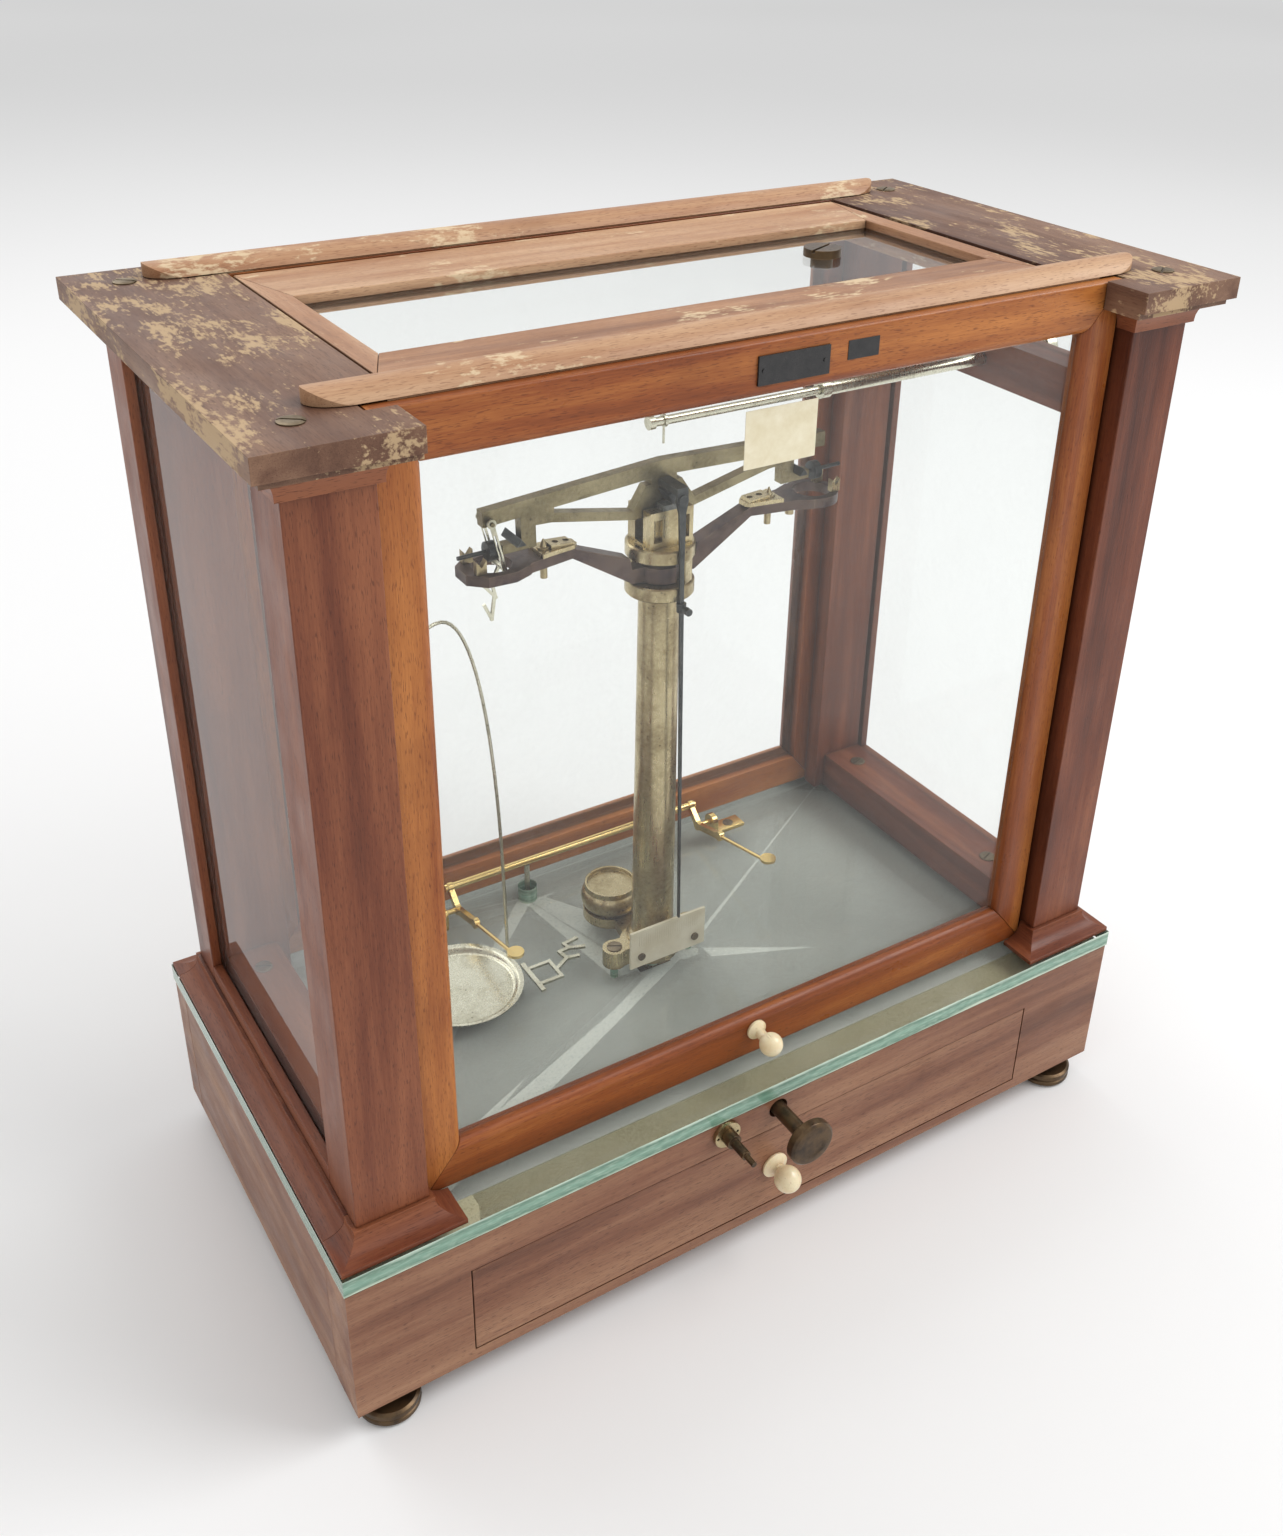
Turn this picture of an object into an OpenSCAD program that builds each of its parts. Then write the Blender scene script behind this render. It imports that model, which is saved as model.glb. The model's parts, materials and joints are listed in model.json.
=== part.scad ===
/* [Base box] */
// Width of the plate-glass floor, left to right
plate_w = 460; // [420:1:520]
// Depth of the plate-glass floor, front to back
plate_d = 242; // [230:1:280]
// Thickness of the plate-glass floor
plate_t = 9.5; // [6:0.5:14]
// Overhang of the glass floor beyond the wooden base box
plate_overhang = 0.5; // [0:0.1:2]
// Height of the wooden base box
base_h = 82.7; // [76:0.1:110]
// Thickness of the base's front board
front_board_t = 24; // [20:1:30]
// Thickness of the base's side and back boards
side_board_t = 18; // [12:1:24]
// Thickness of the bottom board
bottom_board_t = 10; // [6:0.5:14]
// Thickness of the deck board under the glass
deck_t = 6; // [3:0.5:7]
// Thickness of the cloth lining under the glass
lining_t = 0.8; // [0.4:0.1:1.5]
// Chamfer along the base's bottom edges
base_chamfer = 3.5; // [0.5:0.5:6]
/* [Feet] */
// Height of the feet under the base
foot_h = 12; // [10:0.5:20]
// Radius of the front levelling discs
foot_r = 15; // [10:0.5:18]
// Thickness of the levelling disc's grip
foot_disc_t = 8.5; // [6:0.5:9.5]
// Radius of the levelling stud
foot_stud_r = 4; // [2.5:0.5:6]
// Length of the stud inside the base
foot_stud_len = 22; // [12:1:35]
// Distance of the front feet's axes from the sides of the base
foot_inset_x = 19.5; // [17:0.5:40]
// Distance of the front feet's axes from the front of the base
foot_inset_y = 12.5; // [11:0.5:15]
// Distance of the rear foot's axis from the back of the base
rear_foot_inset = 20.5; // [15:0.5:40]
// Radius of the rear foot
rear_foot_r = 12; // [8:0.5:14]
/* [Drawer] */
// Width of the front board beside the drawer
drawer_inset = 59.5; // [50:0.5:90]
// Height of the drawer front
drawer_h = 52; // [45:0.5:52]
// Thickness of the drawer front
drawer_front_t = 16; // [12:1:20]
// Length of the tray behind the drawer front
drawer_len = 165; // [120:1:180]
// Thickness of the tray's sides
drawer_wall = 8; // [5:0.5:10]
// Thickness of the tray's bottom
drawer_floor_t = 5; // [3:0.5:8]
// How far the tray is lower than the front at the top
drawer_drop = 7; // [4:0.5:12]
// Gap between the drawer and the box
drawer_gap = 0.6; // [0.4:0.1:1.2]
// Radius of the bone knob's ball
bone_knob_r = 7; // [5:0.5:9]
/* [Pillars and boards] */
// Distance of the pillars from the sides of the base
pillar_inset_x = 12.5; // [12.5:0.5:20]
// Distance of the pillars from the front and back of the base
pillar_inset_y = 13.5; // [12.5:0.5:18]
// Width of a pillar
pillar_w = 34.4; // [30:0.2:38]
// Depth of a front pillar
front_pillar_d = 30; // [28:0.5:34]
// Depth of a rear pillar
rear_pillar_d = 24; // [22:0.5:30]
// Height of the pillars above the glass floor
pillar_h = 362.5; // [340:0.5:380]
// Thickness of the end boards on top
board_t = 9.7; // [8:0.1:14]
// Overhang of the end boards beyond the pillars, left and right
board_over_x = 13; // [10:0.5:20]
// Overhang of the end boards beyond the pillars, front and back
board_over_y = 15; // [11:0.5:20]
// Overhang of the end boards inside the front pillars
board_return = 12.6; // [9:0.2:16]
// Width of the step under the end boards
board_step = 3; // [1:0.5:4]
// Height of the plinth moulding round the pillars
plinth_h = 12; // [8:0.5:16]
// Reach of the plinth moulding from a pillar
plinth_out = 12.5; // [6:0.5:12.5]
// Height of the cornice moulding under the end boards
cornice_h = 9.5; // [6:0.5:14]
// Reach of the cornice moulding from a pillar
cornice_out = 8; // [5:0.5:10]
/* [Sashes] */
// Distance of the front sash's face behind the pillars' faces
sash_set = 9; // [6:0.5:11]
// Depth of a sash frame
sash_d = 12.5; // [11:0.5:13]
// Width of a sash stile
stile_w = 19.5; // [14:0.5:24]
// Height of a sash's bottom rail
bottom_rail = 24; // [18:0.5:30]
// Height of a sash's top rail
top_rail = 23; // [18:0.5:30]
// Gap between a sash and the glass floor
sash_lift_gap = 1.5; // [0.8:0.1:3]
// Gap between a sash and the pillars at each side
sash_side_gap = 1.6; // [1:0.1:3]
// Radius of the rounded inner edge of a sash
ovolo = 4.5; // [2:0.5:5]
// Depth of the rebate that holds the glass
rebate = 5; // [3:0.5:7]
// Thickness of the window glass
glass_t = 2.6; // [2:0.1:3]
// Reach of the bead on each sash beyond the pillars' inner faces
bead_over = 15.4; // [8:0.2:20]
// Height of the bead on each sash
bead_h = 5.8; // [4:0.2:8]
// Width of the bead on each sash
bead_w = 20; // [14:0.5:20.5]
// Radius of the sash knob
sash_knob_r = 6; // [4:0.5:8]
// Height of the sash knob's axis above the glass floor
sash_knob_z = 17; // [12:0.5:20]
// Radius of the counterweight in each front pillar
weight_r = 6.2; // [4:0.1:6.5]
// Length of each counterweight
weight_len = 105; // [60:1:115]
// Clearance of a counterweight in its bore
weight_clear = 0.4; // [0.3:0.1:0.8]
/* [Sides] */
// Height of a side's bottom rail
side_bottom_h = 23; // [16:0.5:30]
// Height of a side's top rail
side_top_h = 12.5; // [8:0.5:20]
// Distance of the side glass from the pillars' outer faces
glass_set = 7.8; // [6:0.1:10]
// Depth of the groove that holds the side glass
groove_d = 4; // [2:0.5:5]
// Height of the rider rail's axis above the glass floor
rider_z = 306; // [300:0.5:320]
// Height of the rider rail
rider_rail_h = 23; // [18:0.5:30]
/* [Lid] */
// Distance of the lid's sides from the pillars' inner faces
lid_side_set = 19.6; // [18:0.2:22]
// Distance of the lid's front edge behind the front sash's face
lid_front_set = 33.5; // [28:0.5:40]
// Gap between the lid's back edge and the rear sash
lid_back_set = 2.5; // [1:0.5:8]
// Thickness of the lid frame
lid_t = 9; // [8:0.5:9.5]
// Width of the lid's side members
lid_stile = 11; // [8:0.5:20]
// Width of the lid's front member
lid_front_rail = 24.5; // [16:0.5:30]
// Width of the lid's back member
lid_back_rail = 43; // [30:1:50]
// Radius of the brass plug in the lid
plug_r = 9; // [6:0.5:12]
// Place of the plug, right of the centre
plug_x = 98; // [60:1:130]
// Place of the plug, behind the centre
plug_y = 15; // [-15:1:25]
/* [Column] */
// Radius of the column's tube at its foot
column_r = 11.4; // [10.5:0.1:13]
// Radius of the column's tube under the lower collar
column_top_r = 10.2; // [8:0.1:10.5]
// Radius of the column's two collars
collar_r = 17; // [15.8:0.1:17]
// Height of the lower collar's underside above the glass floor
collar_z = 220.2; // [200:0.1:221]
// Height of the lower collar
collar_h = 7.5; // [6:0.5:9]
// Height of the gap between the collars
neck_h = 12; // [11.5:0.1:13]
// Height of the upper collar
head_h = 7.4; // [6:0.1:8.4]
// Radius of the neck between the collars
neck_r = 8; // [6:0.1:9]
// Height of the lobed base
column_base_h = 10.5; // [8:0.5:14]
// Distance of the base's lobes from the column's axis
lobe_reach = 24; // [21:0.5:27]
// Radius of the base's lobes
lobe_r = 6.5; // [5:0.5:8]
// Half the width of the bearing block
bearing_half = 12; // [9:0.5:14]
// Height of the knife edges above the glass floor
knife_z = 268.5; // [266:0.5:271]
/* [Beam] */
// Distance from the centre knife to an end knife
beam_arm = 78; // [77:0.5:79]
// Distance from the centre to the end of the beam
beam_half = 94; // [92:0.5:100]
// Thickness of the beam
beam_t = 5.5; // [4:0.5:6.5]
// Height of the beam's top edge above the knife at the centre
beam_crown = 19.5; // [18:0.5:24]
// Height of the beam's top edge above the knife at its ends
beam_end_top = 14.6; // [13:0.2:16]
// Depth of the beam's top bar
beam_bar = 7.5; // [6:0.5:8]
// Depth of the beam's lower bars
lower_bar = 4.4; // [3:0.2:5]
// Tilt at which the beam has come to rest, right end up
beam_tilt = 1.2; // [0:0.1:1.6]
// Length of the pointer below the knife
pointer_len = 237; // [230:0.5:238]
// Distance of the pointer in front of the beam's centre plane
pointer_y = 18.3; // [18.3:0.1:18.9]
// Radius of the adjusting nuts
nut_r = 4.6; // [3:0.1:5]
// Reach of the adjusting rods
adjust_reach = 106; // [100:0.5:108]
/* [Beam arrest] */
// Height by which the arrest rises
arrest_lift = 3; // [1.5:0.1:3.2]
// Radius of the lifting rod in the column
lift_rod_r = 3; // [2:0.1:3.6]
// Clearance round the lifting rod
rod_clear = 0.3; // [0.2:0.05:0.5]
// Width of the arrest arms, front to back
arm_t = 8; // [6:0.5:10]
// Distance of the arrest rings from the column's axis
ring_x = 89.5; // [88:0.5:91]
// Outer radius of an arrest ring
ring_r = 13.5; // [12.5:0.5:15]
// Radius of the hole in an arrest ring
ring_hole_r = 9.6; // [8.6:0.1:10]
// Height of an arrest ring
ring_h = 5; // [4:0.5:7]
// Height of an arrest ring's top above the glass floor
ring_top = 254.5; // [252:0.5:254.5]
// Height of the control spindles' axes below the glass floor
spindle_drop = 17.5; // [17.5:0.1:18.5]
// Radius of the control spindles
spindle_r = 4; // [3:0.1:4.4]
// Running clearance of the spindles in their hangers
spindle_fit = 0.06; // [0.02:0.01:0.1]
// Smallest radius of the lifting cams
cam_r = 4.7; // [4.4:0.1:4.7]
// Radius of the arrest knob
arrest_knob_r = 12.5; // [9:0.1:12.5]
// Thickness of the arrest knob
arrest_knob_t = 7; // [5:0.5:10]
// Reach of the arrest knob in front of the base
arrest_out = 29.5; // [22:0.5:40]
/* [Pan arrest] */
// Place of the pan-arrest spindle, left of the centre
pan_spindle_x = 32; // [28:0.5:40]
// Lift of the push pin
pin_lift = 1.4; // [0.8:0.1:1.4]
// Radius of the push pin
pin_r = 1.6; // [1:0.1:2]
// Distance of the tie rod from the back of the base
tie_inset = 34.5; // [32:0.5:45]
// Height of the tie rod above the glass floor
tie_z = 17; // [15:0.5:19]
// Radius of the tie rod
tie_r = 2.2; // [1.5:0.1:2.6]
// Distance of the pan-arrest pivots in front of the tie rod
tie_arm = 10; // [9.5:0.1:12]
// Height of the pan-arrest pivots above the glass floor
pivot_z = 8; // [6:0.5:9]
// Distance of the pan-arrest arms from the centre
pad_x = 81; // [77:0.5:84]
// Height of the arrest pads' tops above the glass floor
pad_z = 28; // [24:0.5:32]
// Radius of the arrest pads
pad_r = 4.5; // [3:0.5:6]
/* [Rider rod] */
// Radius of the rider rod
rider_r = 2.2; // [1.5:0.1:2.4]
// Radius of the rider rod's sleeve
sleeve_r = 3.4; // [3.1:0.1:4]
// Start of the rider rod, left of the centre
rider_start = 8; // [0:1:15]
// Start of the sleeve, right of the centre
sleeve_start = 90; // [86:1:120]
// Reach of the rider rod's knob beyond the pillars
rider_out = 25; // [21:0.5:35]
// Running clearance of the rider rod and its sleeve
rider_fit = 0.06; // [0.02:0.01:0.1]
/* [Scale, level and loose pieces] */
// Width of the scale plate
scale_w = 47; // [40:0.5:50]
// Height of the scale plate
scale_h = 23.5; // [18:0.5:24]
// Height of the scale plate's lower edge above the glass floor
scale_z = 6; // [4:0.5:7]
// Radius of the level's rim
level_r = 14.5; // [11:0.5:15]
// Height of the level's rim above the glass floor
level_z = 22; // [18:0.5:26]
// Radius of the loose pan
pan_r = 34; // [28:0.5:36]
// Height of the loose pan's rim
pan_h = 4.5; // [3:0.5:8]
// Height of the loose pan's bow
bow_h = 217; // [180:1:225]
// Radius of the bow's wire
bow_r = 0.9; // [0.6:0.1:1.3]
// Thickness of the loose stirrup's strip
stirrup_t = 1.4; // [1:0.1:2]
/* [Hidden] */
$fn = 48;

// Heights are measured from the top of the glass floor, and place() drops the whole
// balance onto its feet, with the origin under the middle of its outline
wood_top = -plate_t - lining_t;
wood_bot = wood_top - base_h;
ground = wood_bot - foot_h;
base_w = plate_w - 2 * plate_overhang;
base_d = plate_d - 2 * plate_overhang;
pillar_out = base_w / 2 - pillar_inset_x;
pillar_in = pillar_out - pillar_w;
pillar_face = base_d / 2 - pillar_inset_y;
board_x = pillar_out + board_over_x;
board_y = pillar_face + board_over_y;
arrest_reach = base_d / 2 + arrest_out;
rider_reach = pillar_out + rider_out;
shift_x = (board_x - rider_reach) / 2;
shift_y = (arrest_reach - board_y) / 2;
module place() { translate([shift_x, shift_y, -ground]) children(); }

// Small clearances shared by many pieces
kerf = 0.1;
seat = 0.05;
pin_fit = 0.05;

// Box between two corners
module box(x0, x1, y0, y1, z0, z1) {
  translate([x0, y0, z0]) cube([x1 - x0, y1 - y0, z1 - z0]);
}
// Rods along each axis
module rod_x(x0, x1, y, z, r) {
  translate([x0, y, z]) rotate([0, 90, 0]) cylinder(r = r, h = x1 - x0);
}
module rod_y(x, y0, y1, z, r) {
  translate([x, y1, z]) rotate([90, 0, 0]) cylinder(r = r, h = y1 - y0);
}
module rod_z(x, y, z0, z1, r) {
  translate([x, y, z0]) cylinder(r = r, h = z1 - z0);
}
// Upright outline in x and z, drawn out from y0 to y1
module slab(y0, y1, points) {
  translate([0, y1, 0]) rotate([90, 0, 0]) linear_extrude(y1 - y0) polygon(points);
}
// Both sides, the second one mirrored
module both() {
  children();
  mirror([1, 0, 0]) children();
}
module both_y() {
  children();
  mirror([0, 1, 0]) children();
}
// Nearly flush slotted screw head on height z
module screw_head(x, y, z, r, turn) {
  translate([x, y, z]) rotate([0, 0, turn]) difference() {
    union() {
      cylinder(r = r, h = r * 0.1);
      translate([0, 0, r * 0.1]) cylinder(r1 = r, r2 = r * 0.7, h = r * 0.08);
    }
    translate([-r, -r * 0.1, r * 0.03]) cube([2 * r, r * 0.2, r]);
  }
}

// Places that follow from the sizes of the base and the pillars
foot_x = base_w / 2 - foot_inset_x;
foot_y = base_d / 2 - foot_inset_y;
rear_foot_y = base_d / 2 - rear_foot_inset;
drawer_w = base_w - 2 * drawer_inset;
board_open = pillar_in - board_return;
sash_face = pillar_face - sash_set;
rear_sash_out = pillar_face;
rear_sash_in = rear_sash_out - sash_d;
side_glass_x = pillar_out - glass_set;
stub_short = 5;
bead_half = pillar_in + bead_over;
lid_half = pillar_in - lid_side_set;
lid_front = sash_face - lid_front_set;
lid_back = rear_sash_in - lid_back_set;
lid_window_half = lid_half - lid_stile;
lid_window_front = lid_front - lid_front_rail;
lid_window_back = lid_back - lid_back_rail;
tie_y = base_d / 2 - tie_inset;
pivot_y = tie_y - tie_arm;

// Base box
front_in = -base_d / 2 + front_board_t;
back_in = base_d / 2 - side_board_t;
side_in = base_w / 2 - side_board_t;
spindle_z = -spindle_drop;
floor_board_z = wood_bot + bottom_board_t;
drawer_bot = floor_board_z + drawer_gap;
drawer_top = drawer_bot + drawer_h;
spindle_hole_r = spindle_r + 1.5;
stub_hole_r = spindle_r + 0.5;

module base_block() {
  c = base_chamfer;
  w = base_w / 2;
  d = base_d / 2;
  intersection() {
    slab(-d, d, [[-w + c, wood_bot], [w - c, wood_bot], [w, wood_bot + c], [w, wood_top],
      [-w, wood_top], [-w, wood_bot + c]]);
    translate([-w, 0, 0]) rotate([90, 0, 90]) linear_extrude(2 * w)
      polygon([[-d + c, wood_bot], [d - c, wood_bot], [d, wood_bot + c], [d, wood_top],
        [-d, wood_top], [-d, wood_bot + c]]);
  }
}
module base_front() {
  color("saddlebrown") place() difference() {
    intersection() {
      base_block();
      box(-base_w, base_w, -base_d, front_in, wood_bot, wood_top);
    }
    box(-drawer_w / 2 - drawer_gap, drawer_w / 2 + drawer_gap, -base_d, front_in + 1,
      drawer_bot - drawer_gap, drawer_top + drawer_gap);
    rod_y(0, -base_d, front_in + 1, spindle_z, spindle_hole_r);
    rod_y(-pan_spindle_x, -base_d, front_in + 1, spindle_z, stub_hole_r);
    for (s = [-1, 1]) rod_z(s * foot_x, -foot_y, wood_bot - 1,
      wood_bot + foot_stud_len + 1, foot_stud_r + pin_fit);
  }
}
module base_sides() {
  color("saddlebrown") place() both() intersection() {
    base_block();
    box(side_in, base_w, front_in, back_in, wood_bot, wood_top);
  }
}
module base_back() {
  color("saddlebrown") place() intersection() {
    base_block();
    box(-base_w, base_w, back_in, base_d, wood_bot, wood_top);
  }
}
module base_bottom() {
  color("tan") place() box(-side_in, side_in, front_in, back_in, wood_bot, floor_board_z);
}
// The deck is cut out over the cams and grooved for the two spindles
cam_bay = 10;
groove_half = spindle_r + 1.5;
module base_deck() {
  color("tan") place() difference() {
    box(-side_in, side_in, front_in, back_in, wood_top - deck_t, wood_top);
    for (p = [[0, 0], [-pan_spindle_x, tie_y]]) {
      box(p[0] - cam_bay, p[0] + cam_bay, p[1] - 7, p[1] + 7, -base_h, 0);
      box(p[0] - groove_half, p[0] + groove_half, front_in - 1, p[1] + 15,
        wood_top - deck_t - 1, spindle_z + spindle_r + 1);
    }
  }
}
module drawer_guides() {
  color("tan") place() both() box(drawer_w / 2 - drawer_wall / 2 + drawer_gap, side_in,
    front_in, back_in, floor_board_z, floor_board_z + drawer_h * 0.5);
}
module lining(y0, y1) {
  difference() {
    box(-base_w / 2 + 1, base_w / 2 - 1, y0, y1, wood_top, -plate_t);
    box(-cam_bay, cam_bay, -5, 5, wood_top - 1, 0);
    rod_z(-pan_spindle_x, tie_y, wood_top - 1, 0, pin_r + 4);
  }
}
module lining_front() {
  color("antiquewhite") place() lining(-base_d / 2 + 1, -sash_face);
}
module lining_floor() {
  color("lightsteelblue") place() lining(-sash_face, base_d / 2 - 1);
}
module glass_floor() {
  color([0.75, 0.9, 0.85, 0.5]) place() difference() {
    box(-plate_w / 2, plate_w / 2, -plate_d / 2, plate_d / 2, -plate_t, 0);
    rod_z(0, 0, -plate_t - 1, 1, lift_rod_r + 1);
    rod_z(-pan_spindle_x, tie_y, -plate_t - 1, 1, pin_r + 4);
    for (s = [-1, 1]) rod_z(s * lobe_reach, 0, -plate_t - 1, 1, 2.2);
  }
}

// Feet: a grooved disc turned by hand, with a stud that screws up into the base
module levelling_foot(x) {
  translate([x, -foot_y, ground]) {
    rotate_extrude() polygon([[0, 0], [foot_r - 2, 0], [foot_r, 1.5], [foot_r, foot_disc_t * 0.4],
      [foot_r - 1.2, foot_disc_t * 0.5], [foot_r, foot_disc_t * 0.6], [foot_r, foot_disc_t - 1],
      [foot_r - 1.5, foot_disc_t], [0, foot_disc_t]]);
    cylinder(r = foot_stud_r, h = foot_h + foot_stud_len);
  }
}
module foot_left() { color("dimgray") place() levelling_foot(-foot_x); }
module foot_right() { color("dimgray") place() levelling_foot(foot_x); }
module foot_rear() {
  color("dimgray") place() translate([0, rear_foot_y, ground]) rotate_extrude()
    polygon([[0, 0], [rear_foot_r - 1.5, 0], [rear_foot_r, 1.5], [rear_foot_r, foot_h - 1.5],
      [rear_foot_r - 1.5, foot_h], [0, foot_h]]);
}

// Drawer
module drawer_front() {
  color("saddlebrown") place() difference() {
    box(-drawer_w / 2, drawer_w / 2, -base_d / 2, -base_d / 2 + drawer_front_t,
      drawer_bot, drawer_top);
    rod_y(0, -base_d, -base_d / 2 + 8, (drawer_bot + drawer_top) / 2, 3 + pin_fit);
  }
}
module drawer_tray() {
  y0 = -base_d / 2 + drawer_front_t;
  w = drawer_w / 2 - drawer_wall / 2;
  top = drawer_top - drawer_drop;
  color("burlywood") place() difference() {
    box(-w, w, y0, y0 + drawer_len, drawer_bot, top);
    box(-w + drawer_wall, w - drawer_wall, y0 + drawer_wall, y0 + drawer_len - drawer_wall,
      drawer_bot + drawer_floor_t, top + 1);
  }
}
module drawer_knob() {
  b = bone_knob_r;
  color("ivory") place() translate([0, -base_d / 2, (drawer_bot + drawer_top) / 2])
    rotate([90, 0, 0]) {
      translate([0, 0, -7.5]) cylinder(r = 3, h = 7.6);
      rotate_extrude() polygon(concat([[0, 0], [b * 1.05, 0], [b * 1.05, 1.2], [b * 0.8, 2.2],
        [b * 0.42, 4], [b * 0.42, 5.5]],
        [for (a = [-62:8:90]) [b * cos(a), 5.5 + b * 0.9 + b * sin(a)]]));
    }
}

// Mouldings that wrap the pillars: a list of [reach, height], cut out round the pillars
front_pillar_y = pillar_face - front_pillar_d;
rear_pillar_y = pillar_face - rear_pillar_d;
plinth_profile = concat([[0, 0], [plinth_out, 0]],
  [for (a = [0:15:90]) [plinth_out - (plinth_out - 2) * sin(a),
    plinth_h - 2 - (plinth_h - 4.5) * cos(a)]],
  [[2, plinth_h], [0, plinth_h]]);
cornice_z = pillar_h - board_step - cornice_h;
cornice_profile = concat([[0, 0], [2.4, 0]],
  [for (a = [0:15:90]) [cornice_out - (cornice_out - 2.4) * cos(a),
    1 + (cornice_h - 1) * sin(a)]], [[0, cornice_h]]);
function flip(list) = [for (i = [len(list) - 1:-1:0]) list[i]];
module wrap(profile, z) {
  outline = concat([for (p = profile) [pillar_out + p[0], p[1] + z]],
    flip([for (p = profile) [pillar_in - p[0], p[1] + z]]));
  across = concat([for (p = profile) [pillar_face + p[0], p[1] + z]],
    flip([for (p = profile) [-pillar_face - p[0], p[1] + z]]));
  difference() {
    intersection() {
      slab(-base_d, base_d, outline);
      rotate([90, 0, 90]) linear_extrude(base_w) polygon(across);
    }
    box(pillar_in, pillar_out, -pillar_face, pillar_face, z - 1, z + 40);
    box(0, pillar_in + 1, -sash_face - strip_gap, rear_sash_out + strip_gap, z - 1, z + 40);
    for (y = [-sash_face, pillar_face - kerf])
      box(pillar_out - 1, base_w, y, y + kerf, z - 1, z + 40);
  }
}
module plinths() { color("sienna") place() both() wrap(plinth_profile, 0); }
module cornices() { color("sienna") place() both() wrap(cornice_profile, cornice_z); }

// Pillars: the front ones are bored for the counterweights, all have a groove for the
// side glass and a strip that keeps the sash in its run
strip_t = 6.6;
strip_gap = 0.4;
weight_x = pillar_in + pillar_w * 0.5;
weight_y = -pillar_face + front_pillar_d * 0.55;
glass_groove = glass_t + 0.4;
module pillars_front() {
  sash_back = -sash_face + sash_d + strip_gap;
  color("brown") place() both() difference() {
    union() {
      box(pillar_in, pillar_out, -pillar_face, -front_pillar_y, 0, pillar_h);
      box(pillar_in - strip_t, pillar_in + 1, sash_back, -front_pillar_y, 0, pillar_h);
    }
    rod_z(weight_x, weight_y, 3, pillar_h - 4, weight_r + weight_clear);
    box(side_glass_x, side_glass_x + glass_groove, -front_pillar_y - groove_d,
      -front_pillar_y + 1, -1, pillar_h + 1);
  }
}
module pillars_rear() {
  color("brown") place() both() difference() {
    union() {
      box(pillar_in, pillar_out, rear_pillar_y, pillar_face, 0, pillar_h);
      box(pillar_in - strip_t, pillar_in + 1, rear_pillar_y, rear_sash_in - strip_gap,
        0, pillar_h);
    }
    box(side_glass_x, side_glass_x + glass_groove, rear_pillar_y - 1,
      rear_pillar_y + groove_d, -1, pillar_h + 1);
  }
}
// Counterweights sit high while the sash is down
module counterweights() {
  color("gray") place() both() {
    top = pillar_h - 8;
    rod_z(weight_x, weight_y, top - weight_len, top - 6, weight_r);
    rod_z(weight_x, weight_y, top - 6 - seat, top, 1.5);
  }
}

// End boards on top of the pillars, notched for both sashes
sash_half = pillar_in - sash_side_gap;
board_top = pillar_h + board_t;
board_edge = lid_half + 2;
function board_outline(inset) = [
  [board_open, -board_y + inset], [board_x - inset, -board_y + inset],
  [board_x - inset, board_y - inset], [board_open, board_y - inset],
  [board_open, rear_sash_out + strip_gap], [sash_half + 1, rear_sash_out + strip_gap],
  [sash_half + 1, rear_sash_in - strip_gap], [board_edge, rear_sash_in - strip_gap],
  [board_edge, -sash_face + sash_d + strip_gap],
  [sash_half + 1, -sash_face + sash_d + strip_gap], [sash_half + 1, -sash_face - strip_gap],
  [board_open, -sash_face - strip_gap]];
module end_boards() {
  color("chocolate") place() both() {
    translate([0, 0, pillar_h]) linear_extrude(board_t) polygon(board_outline(0));
    difference() {
      translate([0, 0, pillar_h - board_step]) linear_extrude(board_step)
        polygon(board_outline(board_step));
      box(pillar_in - strip_t - 1, pillar_out, -pillar_face, -front_pillar_y,
        pillar_h - board_step - 1, pillar_h + 1);
      box(pillar_in - strip_t - 1, pillar_out, rear_pillar_y, pillar_face,
        pillar_h - board_step - 1, pillar_h + 1);
      box(0, pillar_out, -front_pillar_y - 1, rear_pillar_y + 1, pillar_h - board_step - 1,
        pillar_h + 1);
    }
  }
}

// Side rails between the pillars, the bottom one behind the plinth
module side_rails() {
  color("brown") place() both() {
    box(pillar_in, side_glass_x, -front_pillar_y, rear_pillar_y, 0, side_bottom_h);
    box(pillar_in, side_glass_x, -front_pillar_y, rear_pillar_y, pillar_h - side_top_h,
      pillar_h);
    for (z = [[plinth_h * 0.2, side_bottom_h - 3], [pillar_h - side_top_h - 3, pillar_h]])
      box(side_glass_x + glass_groove, pillar_out, -front_pillar_y, rear_pillar_y, z[0], z[1]);
  }
}
rail_lo = rider_z - rider_rail_h / 2;
rail_hi = rider_z + rider_rail_h / 2;
rail_in = pillar_out - 21;
module rider_rail() {
  color("brown") place() difference() {
    box(rail_in, pillar_out, -front_pillar_y, rear_pillar_y, rail_lo, rail_hi);
    rod_x(rail_in - 1, pillar_out + 1, 0, rider_z, sleeve_r + rider_fit);
  }
}
lid_z = board_top - 0.7 - lid_t;
module panes() {
  color([0.8, 0.9, 0.88, 0.4]) place() {
    y0 = -front_pillar_y - groove_d + 0.3;
    y1 = rear_pillar_y + groove_d - 0.3;
    x0 = side_glass_x + 0.2;
    box(-x0 - glass_t, -x0, y0, y1, 0.3, pillar_h - 0.3);
    box(x0, x0 + glass_t, y0, y1, 0.3, rail_lo);
    box(x0, x0 + glass_t, y0, y1, rail_hi, pillar_h - 0.3);
    difference() {
      box(-lid_window_half - 4, lid_window_half + 4, -lid_window_front - 4,
        lid_window_back + 4, lid_z + 2, lid_z + 2 + glass_t);
      rod_z(plug_x, plug_y, lid_z, lid_z + lid_t, plug_r * 0.6);
    }
  }
}
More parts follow.
